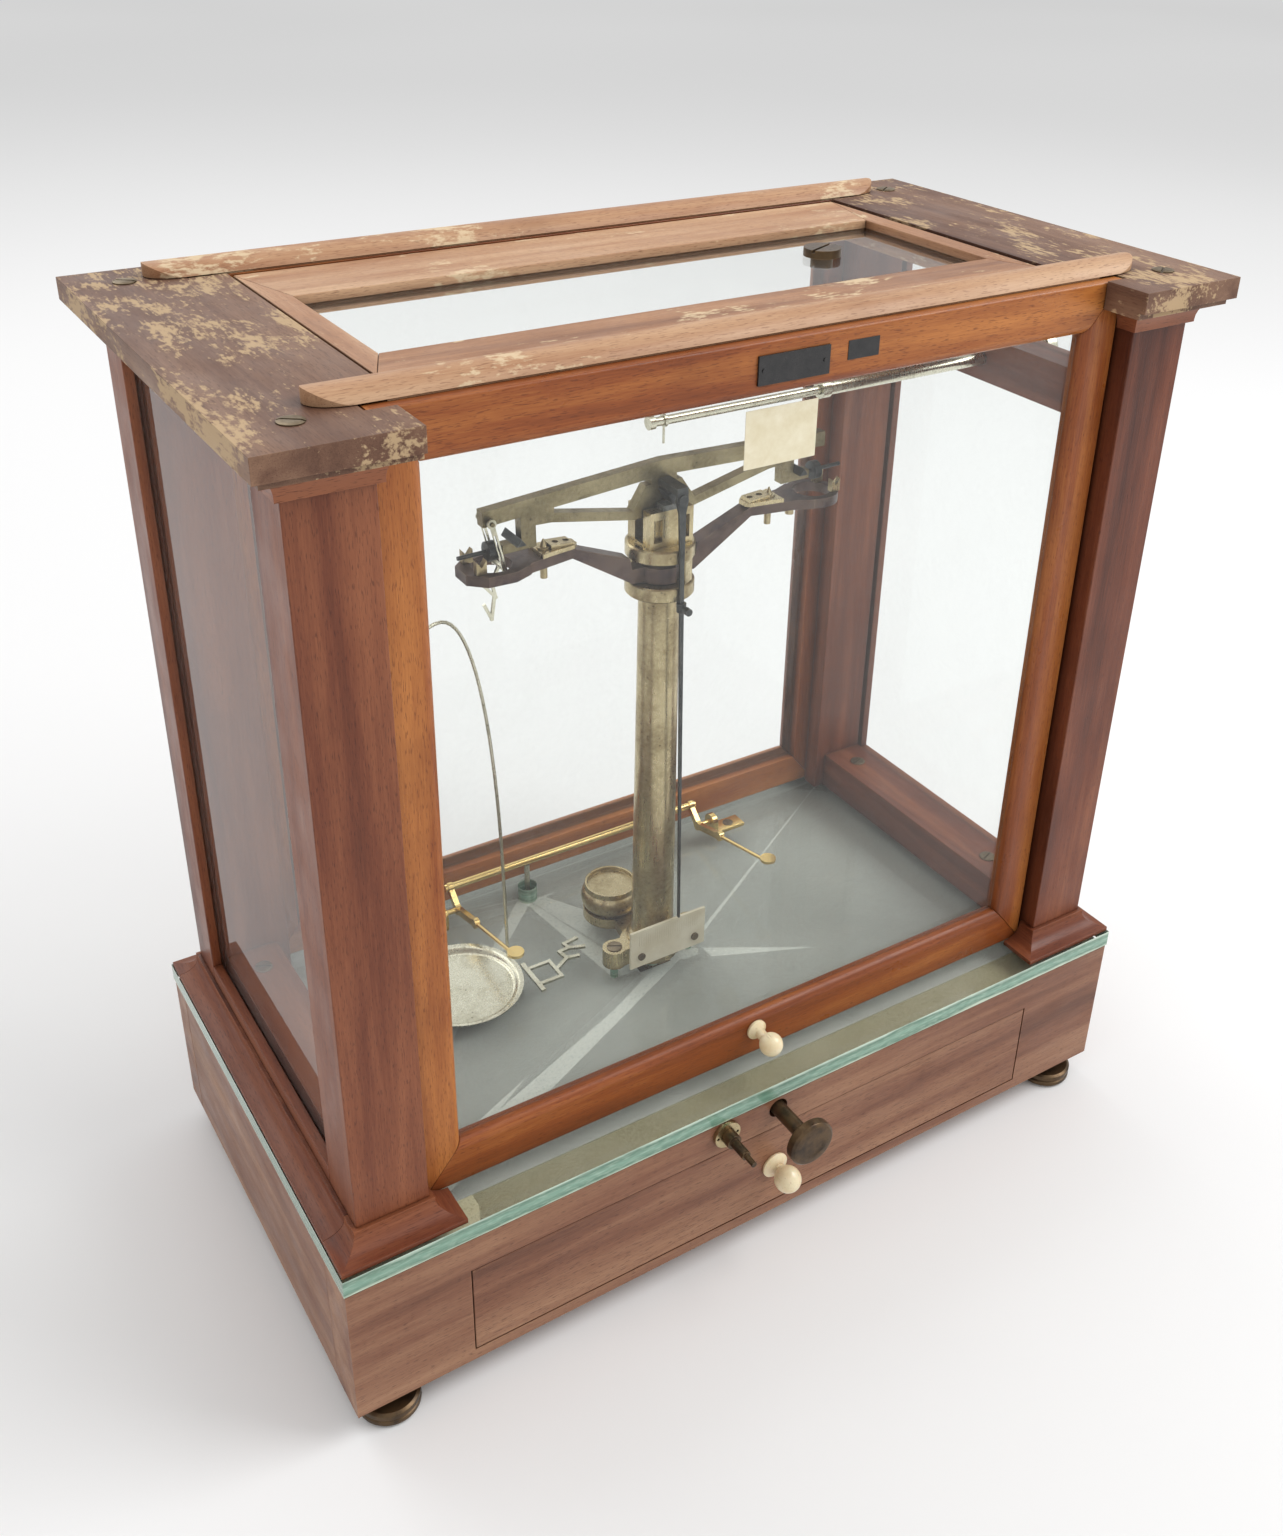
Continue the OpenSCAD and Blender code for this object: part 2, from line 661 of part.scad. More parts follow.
module screws() {
  color("goldenrod") place() both() {
    for (y = [25 - board_y, board_y - 22]) screw_head(board_x - 23, y, board_top, 5, 35);
    for (y = [23 - front_pillar_y, rear_pillar_y - 17])
      screw_head(pillar_in + pillar_w * 0.38, y, side_bottom_h, 4.5, 20);
    screw_head(lobe_reach, 0, column_base_h, 4.2, 30);
    rod_z(lobe_reach, 0, -plate_t, 0, 2);
    screw_head(pad_x + 22, pivot_y, bracket_t, 3.2, 60);
    rod_y(scale_w * 0.36, -scale_y - 1, -scale_y, scale_z + scale_h * 0.28, 2.2);
  }
}

// Lid: four mitred members with the window let in
module lid_frame() {
  x0 = lid_half;
  wx = lid_window_half;
  z1 = lid_z + lid_t;
  color("chocolate") place() difference() {
    union() {
      for (m = [0, 1]) mirror([m, 0, 0]) translate([0, 0, lid_z]) linear_extrude(lid_t)
        polygon([[x0, -lid_front + kerf], [x0, lid_back - kerf], [wx, lid_window_back],
          [wx, -lid_window_front]]);
      translate([0, 0, lid_z]) linear_extrude(lid_t) polygon([[-x0 + kerf, -lid_front],
        [x0 - kerf, -lid_front], [wx - kerf, -lid_window_front],
        [-wx + kerf, -lid_window_front]]);
      translate([0, 0, lid_z]) linear_extrude(lid_t) polygon([[-x0 + kerf, lid_back],
        [x0 - kerf, lid_back], [wx - kerf, lid_window_back], [-wx + kerf, lid_window_back]]);
    }
    box(-wx - 4.2, wx + 4.2, -lid_window_front - 4.2, lid_window_back + 4.2, lid_z + 1.95,
      lid_z + 2.05 + glass_t);
  }
  // Cross rail between the front sash and the lid, and ledges that carry the lid
  color("brown") place() {
    box(-board_edge, board_edge, -sash_face + sash_d + strip_gap, -lid_front - 0.6,
      pillar_h, board_top - 0.7);
    both() box(pillar_in - strip_t - 18, pillar_in, -front_pillar_y + seat,
      rear_pillar_y - seat, lid_z - 7, lid_z - seat);
  }
}
module lid_plug() {
  z = lid_z + 2 + glass_t;
  color("goldenrod") place() difference() {
    union() {
      rod_z(plug_x, plug_y, z + seat, z + 4, plug_r);
      rod_z(plug_x, plug_y, z - glass_t - 3, z + 1, plug_r * 0.6 - pin_fit);
    }
    translate([plug_x, plug_y, z + 2.6]) rotate([0, 0, 25]) translate([-plug_r - 1, -0.8, 0])
      cube([2 * plug_r + 2, 1.6, 5]);
  }
}

// Sash: stiles and rails of one section, rounded towards the glass and rebated behind
glass_in = sash_d * 0.46;
function sash_section(w) = concat([[0, 0.8], [0.8, 0], [w - ovolo, 0]],
  [for (a = [15:15:90]) [w - ovolo + ovolo * sin(a), ovolo - ovolo * cos(a)]],
  [[w, glass_in], [w - rebate, glass_in], [w - rebate, sash_d], [0, sash_d]]);
sash_top = board_top - 0.5;
module sash_frame() {
  h = sash_half;
  z0 = sash_lift_gap;
  z1 = sash_top;
  for (m = [0, 1]) mirror([m, 0, 0]) intersection() {
    translate([-h, 0, z0]) linear_extrude(z1 - z0) polygon(sash_section(stile_w));
    slab(-1, sash_d + 1, [[-h, z0 + kerf], [-h + stile_w, z0 + bottom_rail + kerf],
      [-h + stile_w, z1 - top_rail - kerf], [-h, z1 - kerf]]);
  }
  intersection() {
    translate([-h, 0, z0]) mirror([0, 0, 1]) rotate([0, 90, 0]) linear_extrude(2 * h)
      polygon(sash_section(bottom_rail));
    slab(-1, sash_d + 1, [[-h, z0], [h, z0], [h - stile_w, z0 + bottom_rail],
      [-h + stile_w, z0 + bottom_rail]]);
  }
  intersection() {
    translate([-h, 0, z1]) rotate([0, 90, 0]) linear_extrude(2 * h)
      polygon(sash_section(top_rail));
    slab(-1, sash_d + 1, [[-h, z1], [h, z1], [h - stile_w, z1 - top_rail],
      [-h + stile_w, z1 - top_rail]]);
  }
}
module sash_pane() {
  w = sash_half - stile_w + rebate - 0.2;
  box(-w, w, glass_in, glass_in + glass_t, sash_lift_gap + bottom_rail - rebate + 0.2,
    sash_top - top_rail + rebate - 0.2);
}
// Bead: a rounded bar with tapered noses that rests on the end boards
module bead() {
  r = (bead_w * bead_w / 4 + bead_h * bead_h) / (2 * bead_h);
  nose = 16;
  intersection() {
    rod_x(-bead_half, bead_half, 0, bead_h - r, r);
    box(-bead_half, bead_half, -bead_w, bead_w, 0, bead_h + 1);
    linear_extrude(bead_h + 1) polygon(concat(
      [for (a = [-90:10:90]) [bead_half - nose + nose * cos(a), bead_w / 2 * sin(a)]],
      [for (a = [90:10:270]) [-bead_half + nose + nose * cos(a), bead_w / 2 * sin(a)]]));
  }
}
bead_z = board_top + 0.3;
module front_sash() {
  color("peru") place() translate([0, -sash_face, 0]) sash_frame();
}
module front_pane() {
  color([0.8, 0.9, 0.88, 0.4]) place() translate([0, -sash_face, 0]) sash_pane();
}
front_bead_y = -sash_face + 5 + bead_w / 2;
module front_bead() {
  color("chocolate") place() {
    translate([0, front_bead_y, bead_z]) bead();
    box(-sash_half + 10, sash_half - 10, -sash_face + 5.5, -sash_face + sash_d - 0.5,
      sash_top, bead_z);
  }
}
module sash_knob() {
  k = sash_knob_r;
  color("ivory") place() translate([0, -sash_face, sash_knob_z]) rotate([90, 0, 0])
    rotate_extrude() polygon(concat([[0, 0], [k * 0.9, 0], [k * 0.9, 1.4], [k * 0.45, 3.5],
      [k * 0.45, 8]], [for (a = [-60:10:90]) [k * cos(a), 8 + k * 0.87 + k * sin(a)]]));
}
module number_plate() {
  z = sash_top - top_rail / 2;
  color("lightgoldenrodyellow") place() {
    box(-19.6, 15.4, -sash_face - 0.9, -sash_face, z - 6, z + 6);
    for (x = [-17, 13]) rod_y(x, -sash_face - 1.3, -sash_face - 0.8, z, 0.9);
  }
}
module rear_sash() {
  color("peru") place() translate([0, rear_sash_out, 0]) mirror([0, 1, 0]) sash_frame();
}
module rear_pane() {
  color([0.8, 0.9, 0.88, 0.4]) place() translate([0, rear_sash_out, 0]) mirror([0, 1, 0])
    sash_pane();
}
rear_bead_y = rear_sash_in + bead_w / 2;
module rear_bead() {
  color("chocolate") place() {
    translate([0, rear_bead_y, bead_z]) bead();
    box(-sash_half + 10, sash_half - 10, rear_sash_in + 0.5, rear_sash_out - 0.5,
      sash_top, bead_z);
  }
}

// Column: lobed base, fluted ring at the foot, tube and lower collar
scale_y = pointer_y - 1.9;
scale_t = 1.5;
level_x = -3.5;
level_y = 39;
bracket_t = 2.5;
rod_bore = lift_rod_r + rod_clear;
gap_z = collar_z + collar_h;
head_z = gap_z + neck_h;
module column_base() {
  h = column_base_h;
  color("goldenrod") place() difference() {
    union() {
      rod_z(0, 0, 0, h, column_r + 2.6);
      for (s = [-1, 1]) {
        rod_z(s * lobe_reach, 0, 0, h, lobe_r);
        linear_extrude(h) polygon([[0, -13], [s * 13, -10], [s * 17.5, -lobe_r * 0.86],
          [s * lobe_reach, -lobe_r * 0.86], [s * lobe_reach, lobe_r * 0.86],
          [s * 17.5, lobe_r * 0.86], [s * 13, 10], [0, 13]]);
      }
      linear_extrude(6) polygon([[level_x - 11, level_y], [-9, 24], [-11, 12], [11, 12],
        [7, 24], [level_x + 11, level_y]]);
      rod_z(level_x, level_y, 0, 6, level_r + 1);
      box(-scale_w * 0.43, scale_w * 0.43, -scale_y + scale_t, -12, scale_z - 1, h);
      box(-scale_w * 0.43, scale_w * 0.43, -scale_y + scale_t, -scale_y + scale_t + 2.5, scale_z - 1,
        scale_z + scale_h * 0.45);
    }
    rod_z(0, 0, -1, h + 20, rod_bore);
    for (s = [-1, 1]) rod_z(s * lobe_reach, 0, -1, 1, 2);
    rod_z(0, 0, h, h + 30, column_r + 3);
  }
}
module column() {
  h = column_base_h;
  c = collar_r;
  color("goldenrod") place() rotate_extrude($fn = 96) polygon([[rod_bore, h],
    [column_r + 2.6, h], [column_r + 2.6, h + 1.2], [column_r + 1.7, h + 2.2],
    [column_r + 1.7, h + 3.2], [column_r, h + 5], [column_top_r, collar_z],
    [c - 0.8, collar_z], [c, collar_z + 0.8], [c, gap_z - 0.8], [c - 0.8, gap_z],
    [rod_bore, gap_z]]);
}
// Head: neck, upper collar and the bearing block, cleft for the beam
cross_z = gap_z + 4.5;
cross_r = 1.4;
agate_t = 2.8;
block_top = knife_z - agate_t - 0.2;
cleft = beam_t / 2 + 0.9;
module column_head() {
  z = head_z;
  c = collar_r;
  color("goldenrod") place() difference() {
    union() {
      rotate_extrude($fn = 96) polygon([[0, gap_z], [neck_r, gap_z], [neck_r, z], [c - 0.8, z],
        [c, z + 0.8], [c, z + head_h - 0.8], [c - 0.8, z + head_h], [0, z + head_h]]);
      for (a = [-60, 120]) rotate([0, 0, a]) box(13.2, c - 1.2, -3.4, 3.4, gap_z, z + 1);
      box(-bearing_half, bearing_half, -10, 10, z + head_h - 1, block_top);
    }
    rod_z(0, 0, gap_z - 1, z + head_h - 2, rod_bore);
    box(-c, c, -cross_r - 0.2, cross_r + 0.2, cross_z - cross_r - 0.3,
      cross_z + arrest_lift + cross_r + 0.3);
    box(-bearing_half - 1, bearing_half + 1, -cleft, cleft, z + head_h + 1, block_top + 1);
    for (s = [-1, 1]) box(s * bearing_half * 0.62 - 2.4, s * bearing_half * 0.62 + 2.4, -12, -7,
      z + head_h + 3, block_top - 4);
  }
}
module agate_planes() {
  color("darkslategray") place() for (s = [-1, 1])
    box(-5, 5, s * 7.1 - 2.9, s * 7.1 + 2.9, block_top, knife_z - 0.2);
}

// Beam arrest: arms that rise with the lifting rod, with a ring at each end
hub_z = gap_z + 0.5;
hub_top = hub_z + neck_h - arrest_lift - 1;
ring_bot = ring_top - ring_h;
// Plan of an arm where it widens into its ring
arm_end = [[50, -arm_t / 2], [ring_x - ring_r * 1.2, -ring_r * 0.62], [ring_x - ring_r * 0.5, -ring_r + 1],
  [ring_x - ring_r * 0.5, ring_r - 1], [ring_x - ring_r * 1.2, ring_r * 0.62], [50, arm_t / 2]];
// Plan of the left ring, which has straight sides and a blunt tip
left_ring = [for (p = [[-1.15, -0.7], [-0.45, -1], [0.55, -0.95], [1.12, -0.42], [1.12, 0.42], [0.55, 0.95],
  [-0.45, 1], [-1.15, 0.7]]) [-ring_x - p[0] * ring_r, p[1] * ring_r]];
module arrest_frame() {
  color([0.28, 0.2, 0.22]) place() difference() {
    union() {
      rod_z(0, 0, hub_z, hub_top, 12);
      both() {
        slab(-arm_t / 2, arm_t / 2, [[5, hub_z], [collar_r + 0.5, hub_z + 0.6], [50, ring_bot],
          [ring_x - ring_hole_r - 2, ring_bot], [ring_x - ring_hole_r - 2, ring_top], [50, ring_top],
          [collar_r + 2, hub_top + 6], [collar_r + 0.9, hub_top], [5, hub_top]]);
        translate([0, 0, ring_bot]) linear_extrude(ring_h) polygon(arm_end);
      }
      rod_z(ring_x, 0, ring_bot, ring_top, ring_r);
      translate([0, 0, ring_bot]) linear_extrude(ring_h) polygon(left_ring);
    }
    rod_z(0, 0, hub_z - 1, hub_top + 1, neck_r + rod_clear);
    for (a = [-60, 120]) rotate([0, 0, a]) box(10, 20, -4, 4, hub_z - 1, hub_top + 1);
    rod_x(-13, 13, 0, cross_z, cross_r + pin_fit);
    for (s = [-1, 1]) rod_z(s * ring_x, 0, ring_bot - 1, ring_top + 1, ring_hole_r);
  }
}
// Brass plate on each arm, with a step, two screws and a cone, and a fork on each side of the ring
plate_in = 47;
plate_out = 67;
plate_step = 58;
cone_x = 63;
fork_x = ring_x + 8.7;
fork_y = ring_hole_r - 2.6;
module arrest_fittings() {
  t = 2;
  color("goldenrod") place() both() {
    difference() {
      union() {
        translate([0, 0, ring_top]) linear_extrude(t) polygon([[plate_in + 2, -4.5], [plate_in, -2.5],
          [plate_in, 2.5], [plate_in + 2, 4.5], [plate_step + 5, 6.5], [plate_out, 7.5],
          [plate_out, -7.5], [plate_step + 5, -6.5]]);
        slab(-4, 4, [[plate_in + 1, ring_top + 1], [plate_step + 3, ring_top + 1],
          [plate_step + 3, ring_top + t + 2], [plate_in + 2.5, ring_top + t + 1.2]]);
      }
      for (x = [plate_in + 4.5, plate_step - 1]) rod_z(x, 0, ring_top + t + 0.4, ring_top + 9, 1.5);
    }
    rod_z(cone_x, 0, ring_top + t, ring_top + t + 0.8, 3.2);
    translate([cone_x, 0, ring_top + t + 0.8]) cylinder(r1 = 2, r2 = 0.3, h = 3.6);
    for (s = [-1, 1]) slab(s * fork_y - 1.6, s * fork_y + 1.6, [[fork_x - 2.5, ring_top],
      [fork_x + 2.5, ring_top], [fork_x + 2.5, ring_top + 6.5], [fork_x, ring_top + 3.2],
      [fork_x - 2.5, ring_top + 6.5]]);
    rod_z(ring_x - ring_r + 0.5, 0, ring_bot - 5.5, ring_bot, 2.2);
    rod_z(cone_x, 0, ring_bot - 8, ring_bot, 1.7);
  }
}
rod_foot = spindle_z + cam_r + 0.15;
module lift_rod() {
  color("silver") place() {
    rod_z(0, 0, rod_foot, cross_z + 4, lift_rod_r);
    rod_x(-12, 12, 0, cross_z, cross_r);
  }
}

// Spiral cam: its radius grows evenly with the turn, then falls back the same way
module cam(x, y, t, lift, turn) {
  translate([x, y, spindle_z]) slab(-t / 2, t / 2, [for (f = [0:5:355])
    let (r = cam_r + lift * min(f, turn, 360 - f) / turn) [r * sin(f), r * cos(f)]]);
}
module arrest_spindle() {
  k = arrest_knob_r;
  y0 = -arrest_reach;
  color("dimgray") place() {
    rod_y(0, y0 + 1, 14, spindle_z, spindle_r);
    cam(0, 0, 8, arrest_lift, 180);
    translate([0, y0 + arrest_knob_t, spindle_z]) rotate([90, 0, 0]) rotate_extrude()
      polygon([[0, 0], [k - 2.5, 0], [k, 1.5], [k, arrest_knob_t - 1.5],
        [k - 1.2, arrest_knob_t - 0.4], [k * 0.6, arrest_knob_t], [k * 0.5, arrest_knob_t - 0.6],
        [0, arrest_knob_t - 0.6]]);
  }
}
// The pan spindle's bare stub ends a little short of the arrest knob's face
stub_end = arrest_reach - stub_short;
module pan_spindle() {
  x = -pan_spindle_x;
  color("dimgray") place() {
    rod_y(x, -base_d / 2 - 8, tie_y + 14, spindle_z, spindle_r);
    rod_y(x, -base_d / 2 - 18, -base_d / 2 - 7, spindle_z, spindle_r * 0.62);
    rod_y(x, -stub_end, -base_d / 2 - 17, spindle_z, 1.5);
    cam(x, tie_y, 8, pin_lift, 90);
  }
}
// Hangers under the deck, the guide plate of the push pin and the small flange in front
module hanger_block(x, y) {
  difference() {
    union() {
      box(x - 11, x + 11, y, y + 5, spindle_z - spindle_r - 4, wood_top - deck_t);
      box(x - groove_half + 0.2, x + groove_half - 0.2, y, y + 5, spindle_z,
        spindle_z + spindle_r + 0.8);
    }
    rod_y(x, y - 1, y + 6, spindle_z, spindle_r + spindle_fit);
  }
}
module spindle_hangers() {
  x = -pan_spindle_x;
  color("darkgoldenrod") place() {
    for (y = [-14, 8]) hanger_block(0, y);
    for (y = [front_in + 26, tie_y - 14, tie_y + 8]) hanger_block(x, y);
    difference() {
      box(x - cam_bay, x + cam_bay, tie_y - 7, tie_y + 7, wood_top - 0.9, wood_top);
      rod_z(x, tie_y, wood_top - 3, wood_top + 1, pin_r + pin_fit);
    }
    difference() {
      rod_y(x, -base_d / 2 - 2.2, -base_d / 2, spindle_z, 7.4);
      rod_y(x, -base_d, 0, spindle_z, spindle_r + spindle_fit);
      for (s = [-1, 1]) rod_y(x + s * 5.7, -base_d / 2 - 3, -base_d / 2 - 1, spindle_z, 0.8);
    }
  }
}

// Beam: everything on it is drawn level about the centre knife and then tilted
module tilted() { place() translate([0, 0, knife_z]) rotate([0, -beam_tilt, 0]) children(); }
function tilt_x(x, z) = x * cos(beam_tilt) - z * sin(beam_tilt);
function tilt_z(x, z) = knife_z + x * sin(beam_tilt) + z * cos(beam_tilt);
function beam_top(x) = beam_crown - (beam_crown - beam_end_top) * abs(x) / beam_half;
foot_top = -3.5;
foot_bot = -7.8;
leg_x = beam_arm - 10;
hook_x = beam_half - 3;
hanger_y = nut_r + 0.4;
hanger_t = 1;
pin_reach = hanger_y + hanger_t + 0.8;
module knife(x, half, clear) {
  w = 3.2 + clear;
  slab(-half, half, [[x, -clear * 2], [x + w, 6 + clear], [x - w, 6 + clear]]);
}
web_in = beam_arm * 0.22;
web_out = beam_arm * 0.75;
module beam() {
  b = beam_bar;
  low = -7;
  half = [[0, beam_crown], [beam_half, beam_end_top], [beam_half, beam_end_top - b],
    [leg_x + 7.5, beam_top(leg_x + 7.5) - b], [leg_x + 7.5, foot_top], [beam_arm + 7, foot_top],
    [beam_arm + 7, foot_bot], [leg_x, foot_bot], [leg_x, 2.5], [web_out + 1.5, 2],
    [web_in, low], [0, low]];
  color("goldenrod") tilted() difference() {
    union() {
      both() slab(-beam_t / 2, beam_t / 2, half);
      rod_y(-hook_x, -pin_reach, pin_reach, beam_end_top - b / 2 - 1.4, 1);
    }
    both() slab(-beam_t, beam_t, [[7, 8.5], [7, beam_top(7) - b], [web_out, beam_top(web_out) - b],
      [web_out, 2 + lower_bar], [web_in, low + lower_bar], [10, 8.5]]);
    knife(0, beam_t, 0);
  }
}
module knives() {
  color("darkslategray") tilted() {
    knife(0, 11, 0);
    both() {
      slab(-8, 8, [[beam_arm - 2.4, foot_top], [beam_arm + 2.4, foot_top], [beam_arm, 0]]);
      rod_x(beam_arm + 7, adjust_reach, 0, (foot_top + foot_bot) / 2, 1);
    }
  }
}
module nut(side) {
  tilted() translate([side * (beam_arm + 12), 0, (foot_top + foot_bot) / 2]) difference() {
    rod_x(-2, 2, 0, 0, nut_r);
    rod_x(-3, 3, 0, 0, 1 + pin_fit);
  }
}
module nut_left() { color("dimgray") nut(-1); }
module nut_right() { color("dimgray") nut(1); }
// Pointer: hung in front of the collars from an arm above the knife, with a small weight clamped on it
boss_z = -50.5;
module pointer() {
  y = -pointer_y;
  color("darkslategray") tilted() {
    box(-3, 3, y - 0.7, -beam_t / 2, 7.5, 11);
    slab(y - 0.7, y + 0.7, [[-3, 11], [-3, 3], [-1.8, -2], [-1.1, -30], [-0.5, -pointer_len],
      [0.5, -pointer_len], [1.1, -30], [1.8, -2], [3, 3], [3, 11]]);
    rod_y(0, y - 1.6, y + 0.7, 5, 2.6);
    rod_z(0, y, boss_z - 2.2, boss_z + 2.2, 2.4);
    rod_y(0, y - 7, y, boss_z, 1);
    rod_y(0, y - 7, y - 4, boss_z, 1.9);
  }
}
// Flat strip between two points of an x and z outline
function strip(p, q, w) = let (d = (q - p) / norm(q - p), n = [-d[1], d[0]] * w / 2,
  e = d * w / 2) [p - e + n, q + e + n, q + e - n, p - e - n];
// Hanger: a narrow bow astride the beam's end, leaning inwards, with a double hook on its lower bar
hook_z = beam_end_top - beam_bar / 2 - 1.4;
module hanger() {
  x = tilt_x(-hook_x, hook_z);
  z = tilt_z(-hook_x, hook_z);
  foot = [5.6, -23];
  hooks = [[foot, [1.6, -31]], [[1.6, -31], [3.3, -38.5]], [[3.3, -38.5], [-1.6, -32.6]],
    [[2.6, -38.8], [1, -49]], [[1, -49], [-2.4, -41.5]]];
  color("silver") place() translate([x, 0, z]) difference() {
    union() {
      both_y() {
        rod_y(0, hanger_y, hanger_y + hanger_t, 0, 2.2);
        slab(hanger_y, hanger_y + hanger_t, strip([0.2, -1], foot, 2.2));
      }
      rod_y(foot[0], -hanger_y - hanger_t, hanger_y + hanger_t, foot[1], 1.1);
      for (h = hooks) slab(-0.6, 0.6, strip(h[0], h[1], 1.5));
    }
    rod_y(0, -9, 9, 0, 1 + pin_fit);
    both_y() slab(hanger_y - 1, hanger_y + 3, strip([1.1, -6], foot * 0.84, 0.8));
  }
}

// Scale behind the pointer's tip, and the level
module scale_plate() {
  h = scale_h;
  n = 26;
  pitch = scale_w * 0.78 / n;
  color("ivory") place() difference() {
    box(-scale_w / 2, scale_w / 2, -scale_y, -scale_y + scale_t, scale_z, scale_z + h);
    for (i = [0:n]) box((i - n / 2) * pitch - 0.15, (i - n / 2) * pitch + 0.15, -scale_y - 1,
      -scale_y + 0.15, scale_z + h * (i % 5 == 3 ? 0.52 : 0.58), scale_z + h * 0.92);
  }
}
module level() {
  r = level_r;
  z = level_z - 6;
  color("darkgoldenrod") place() translate([level_x, level_y, 6]) rotate_extrude($fn = 72)
    polygon(concat([[0, 0], [r - 1, 0]],
      [for (a = [-70:14:56]) [r - 2.5 + 4.6 * cos(a), z * 0.45 + z * 0.42 * sin(a)]],
      [[r, z * 0.84], [r, z], [r - 1.3, z], [r - 1.6, z - 2.2], [0, z - 2.2]]));
}

// Pan arrest: two arms joined by the tie rod, turning about the pivots
module slab_x(x0, x1, points) {
  translate([x0, 0, 0]) rotate([90, 0, 90]) linear_extrude(x1 - x0) polygon(points);
}
// Round bar between two points at one x
module bar(x, p, q, r) {
  d = q - p;
  translate([x, p[0], p[1]]) rotate([atan2(-d[0], d[1]), 0, 0]) cylinder(r = r, h = norm(d));
}
pad_y = 5;
elbow = [53, 14];
module pan_arrest() {
  tie = [tie_y, tie_z];
  pivot = [pivot_y, pivot_z];
  color("goldenrod") place() {
    rod_x(-pad_x - 3, pad_x + 3, tie_y, tie_z, tie_r);
    both() {
      for (p = [tie, pivot, elbow]) rod_x(pad_x - 1.5, pad_x + 1.5, p[0], p[1], 3);
      slab_x(pad_x - 1.5, pad_x + 1.5, strip(tie, pivot, 4));
      slab_x(pad_x - 1.5, pad_x + 1.5, strip(pivot, elbow, 4));
      rod_x(pad_x, pad_x + 12.5, pivot_y, pivot_z, 1.6);
      bar(pad_x, elbow, [pad_y, pad_z - 3], 1.1);
      rod_z(pad_x, pad_y, pad_z - 3.8, pad_z - 1.6, 1.6);
      rod_z(pad_x, pad_y, pad_z - 1.7, pad_z, pad_r);
    }
  }
}
module pan_brackets() {
  x = pad_x + 8;
  color("goldenrod") place() both() difference() {
    union() {
      box(x, x + 23, pivot_y - 5, pivot_y + 5, 0, bracket_t);
      box(x, x + 3.5, pivot_y - 5, pivot_y + 5, 0, pivot_z);
      rod_x(x, x + 3.5, pivot_y, pivot_z, 5);
    }
    rod_x(x - 1, x + 5, pivot_y, pivot_z, 1.6 + pin_fit);
  }
}
module push_pin() {
  color("silver") place() rod_z(-pan_spindle_x, tie_y, rod_foot, tie_z - tie_r - 0.2, pin_r);
}

// Rider rod: a thin rod with a wire finger, turning in a sleeve that slides in the rail
module rider_sleeve() {
  color("silver") place() difference() {
    union() {
      rod_x(sleeve_start, pillar_out + 4, 0, rider_z, sleeve_r);
      rod_x(sleeve_start, sleeve_start + 5, 0, rider_z, sleeve_r + 1);
    }
    rod_x(sleeve_start - 1, pillar_out + 5, 0, rider_z, rider_r + rider_fit);
  }
}
module rider_rod() {
  k = pillar_out + 4.4;
  color("silver") place() {
    rod_x(-rider_start, rider_reach - 5, 0, rider_z, rider_r);
    rod_x(-rider_start, -rider_start + 3, 0, rider_z, rider_r + 1);
    rod_z(0.7, 0, rider_z - 11, rider_z, 0.6);
    rod_x(0, 1.4, 0, rider_z, rider_r + 0.8);
    translate([k, 0, rider_z]) rotate([0, 90, 0]) rotate_extrude() polygon([[0, 0], [5, 0],
      [5, 3], [3.4, 5], [3.4, 8], [9.5, 11], [10.5, 12.5], [10.5, rider_reach - k - 2],
      [9, rider_reach - k], [0, rider_reach - k]]);
  }
}

// Loose pan with its wire bow, and the loose stirrup lying beside it
pan_x = -105;
pan_y = 22;
bow_turn = 17;
bow_lean = 1.5;
function bow_curve(n) = [for (i = [0:n]) let (a = 180 * i / n, c = cos(a), s = sin(a))
  [pan_r * sign(c) * pow(abs(c), 0.85) * (1 + 0.1 * s), (bow_h - 4) * pow(s, 0.82)]];
module tube(points, r, sides) {
  n = len(points);
  function dir(i) = let (d = points[min(i + 1, n - 1)] - points[max(i - 1, 0)]) d / norm(d);
  ring = [for (i = [0:n - 1]) for (j = [0:sides - 1]) let (d = dir(i), a = 360 * j / sides)
    [points[i][0] - d[1] * r * cos(a), r * sin(a), points[i][1] + d[0] * r * cos(a)]];
  polyhedron(points = ring, faces = concat([[for (j = [0:sides - 1]) sides - 1 - j]],
    [[for (j = [0:sides - 1]) (n - 1) * sides + j]],
    [for (i = [0:n - 2]) for (j = [0:sides - 1]) let (a = i * sides + j,
      b = i * sides + (j + 1) % sides) each [[a, b + sides, a + sides], [a, b, b + sides]]]));
}
module pan() {
  h = pan_h;
  r = pan_r - bow_r - 0.5;
  color("silver") place() translate([pan_x, pan_y, 0]) rotate([0, 0, bow_turn]) {
    rotate_extrude($fn = 96) polygon([[0, 0], [r - 5, 0], [r, h - 1], [r + 0.4, h], [r - 1.4, h],
      [r - 5.6, 1.2], [0, 0.9]]);
    for (s = [-1, 1]) rod_x(s * (pan_r - 1.2) - 1.6, s * (pan_r - 1.2) + 1.6, 0, h - 0.9, 0.8);
    translate([0, 0, h - 1]) rotate([-bow_lean, 0, 0]) {
      tube(bow_curve(44), bow_r, 8);
    }
  }
}
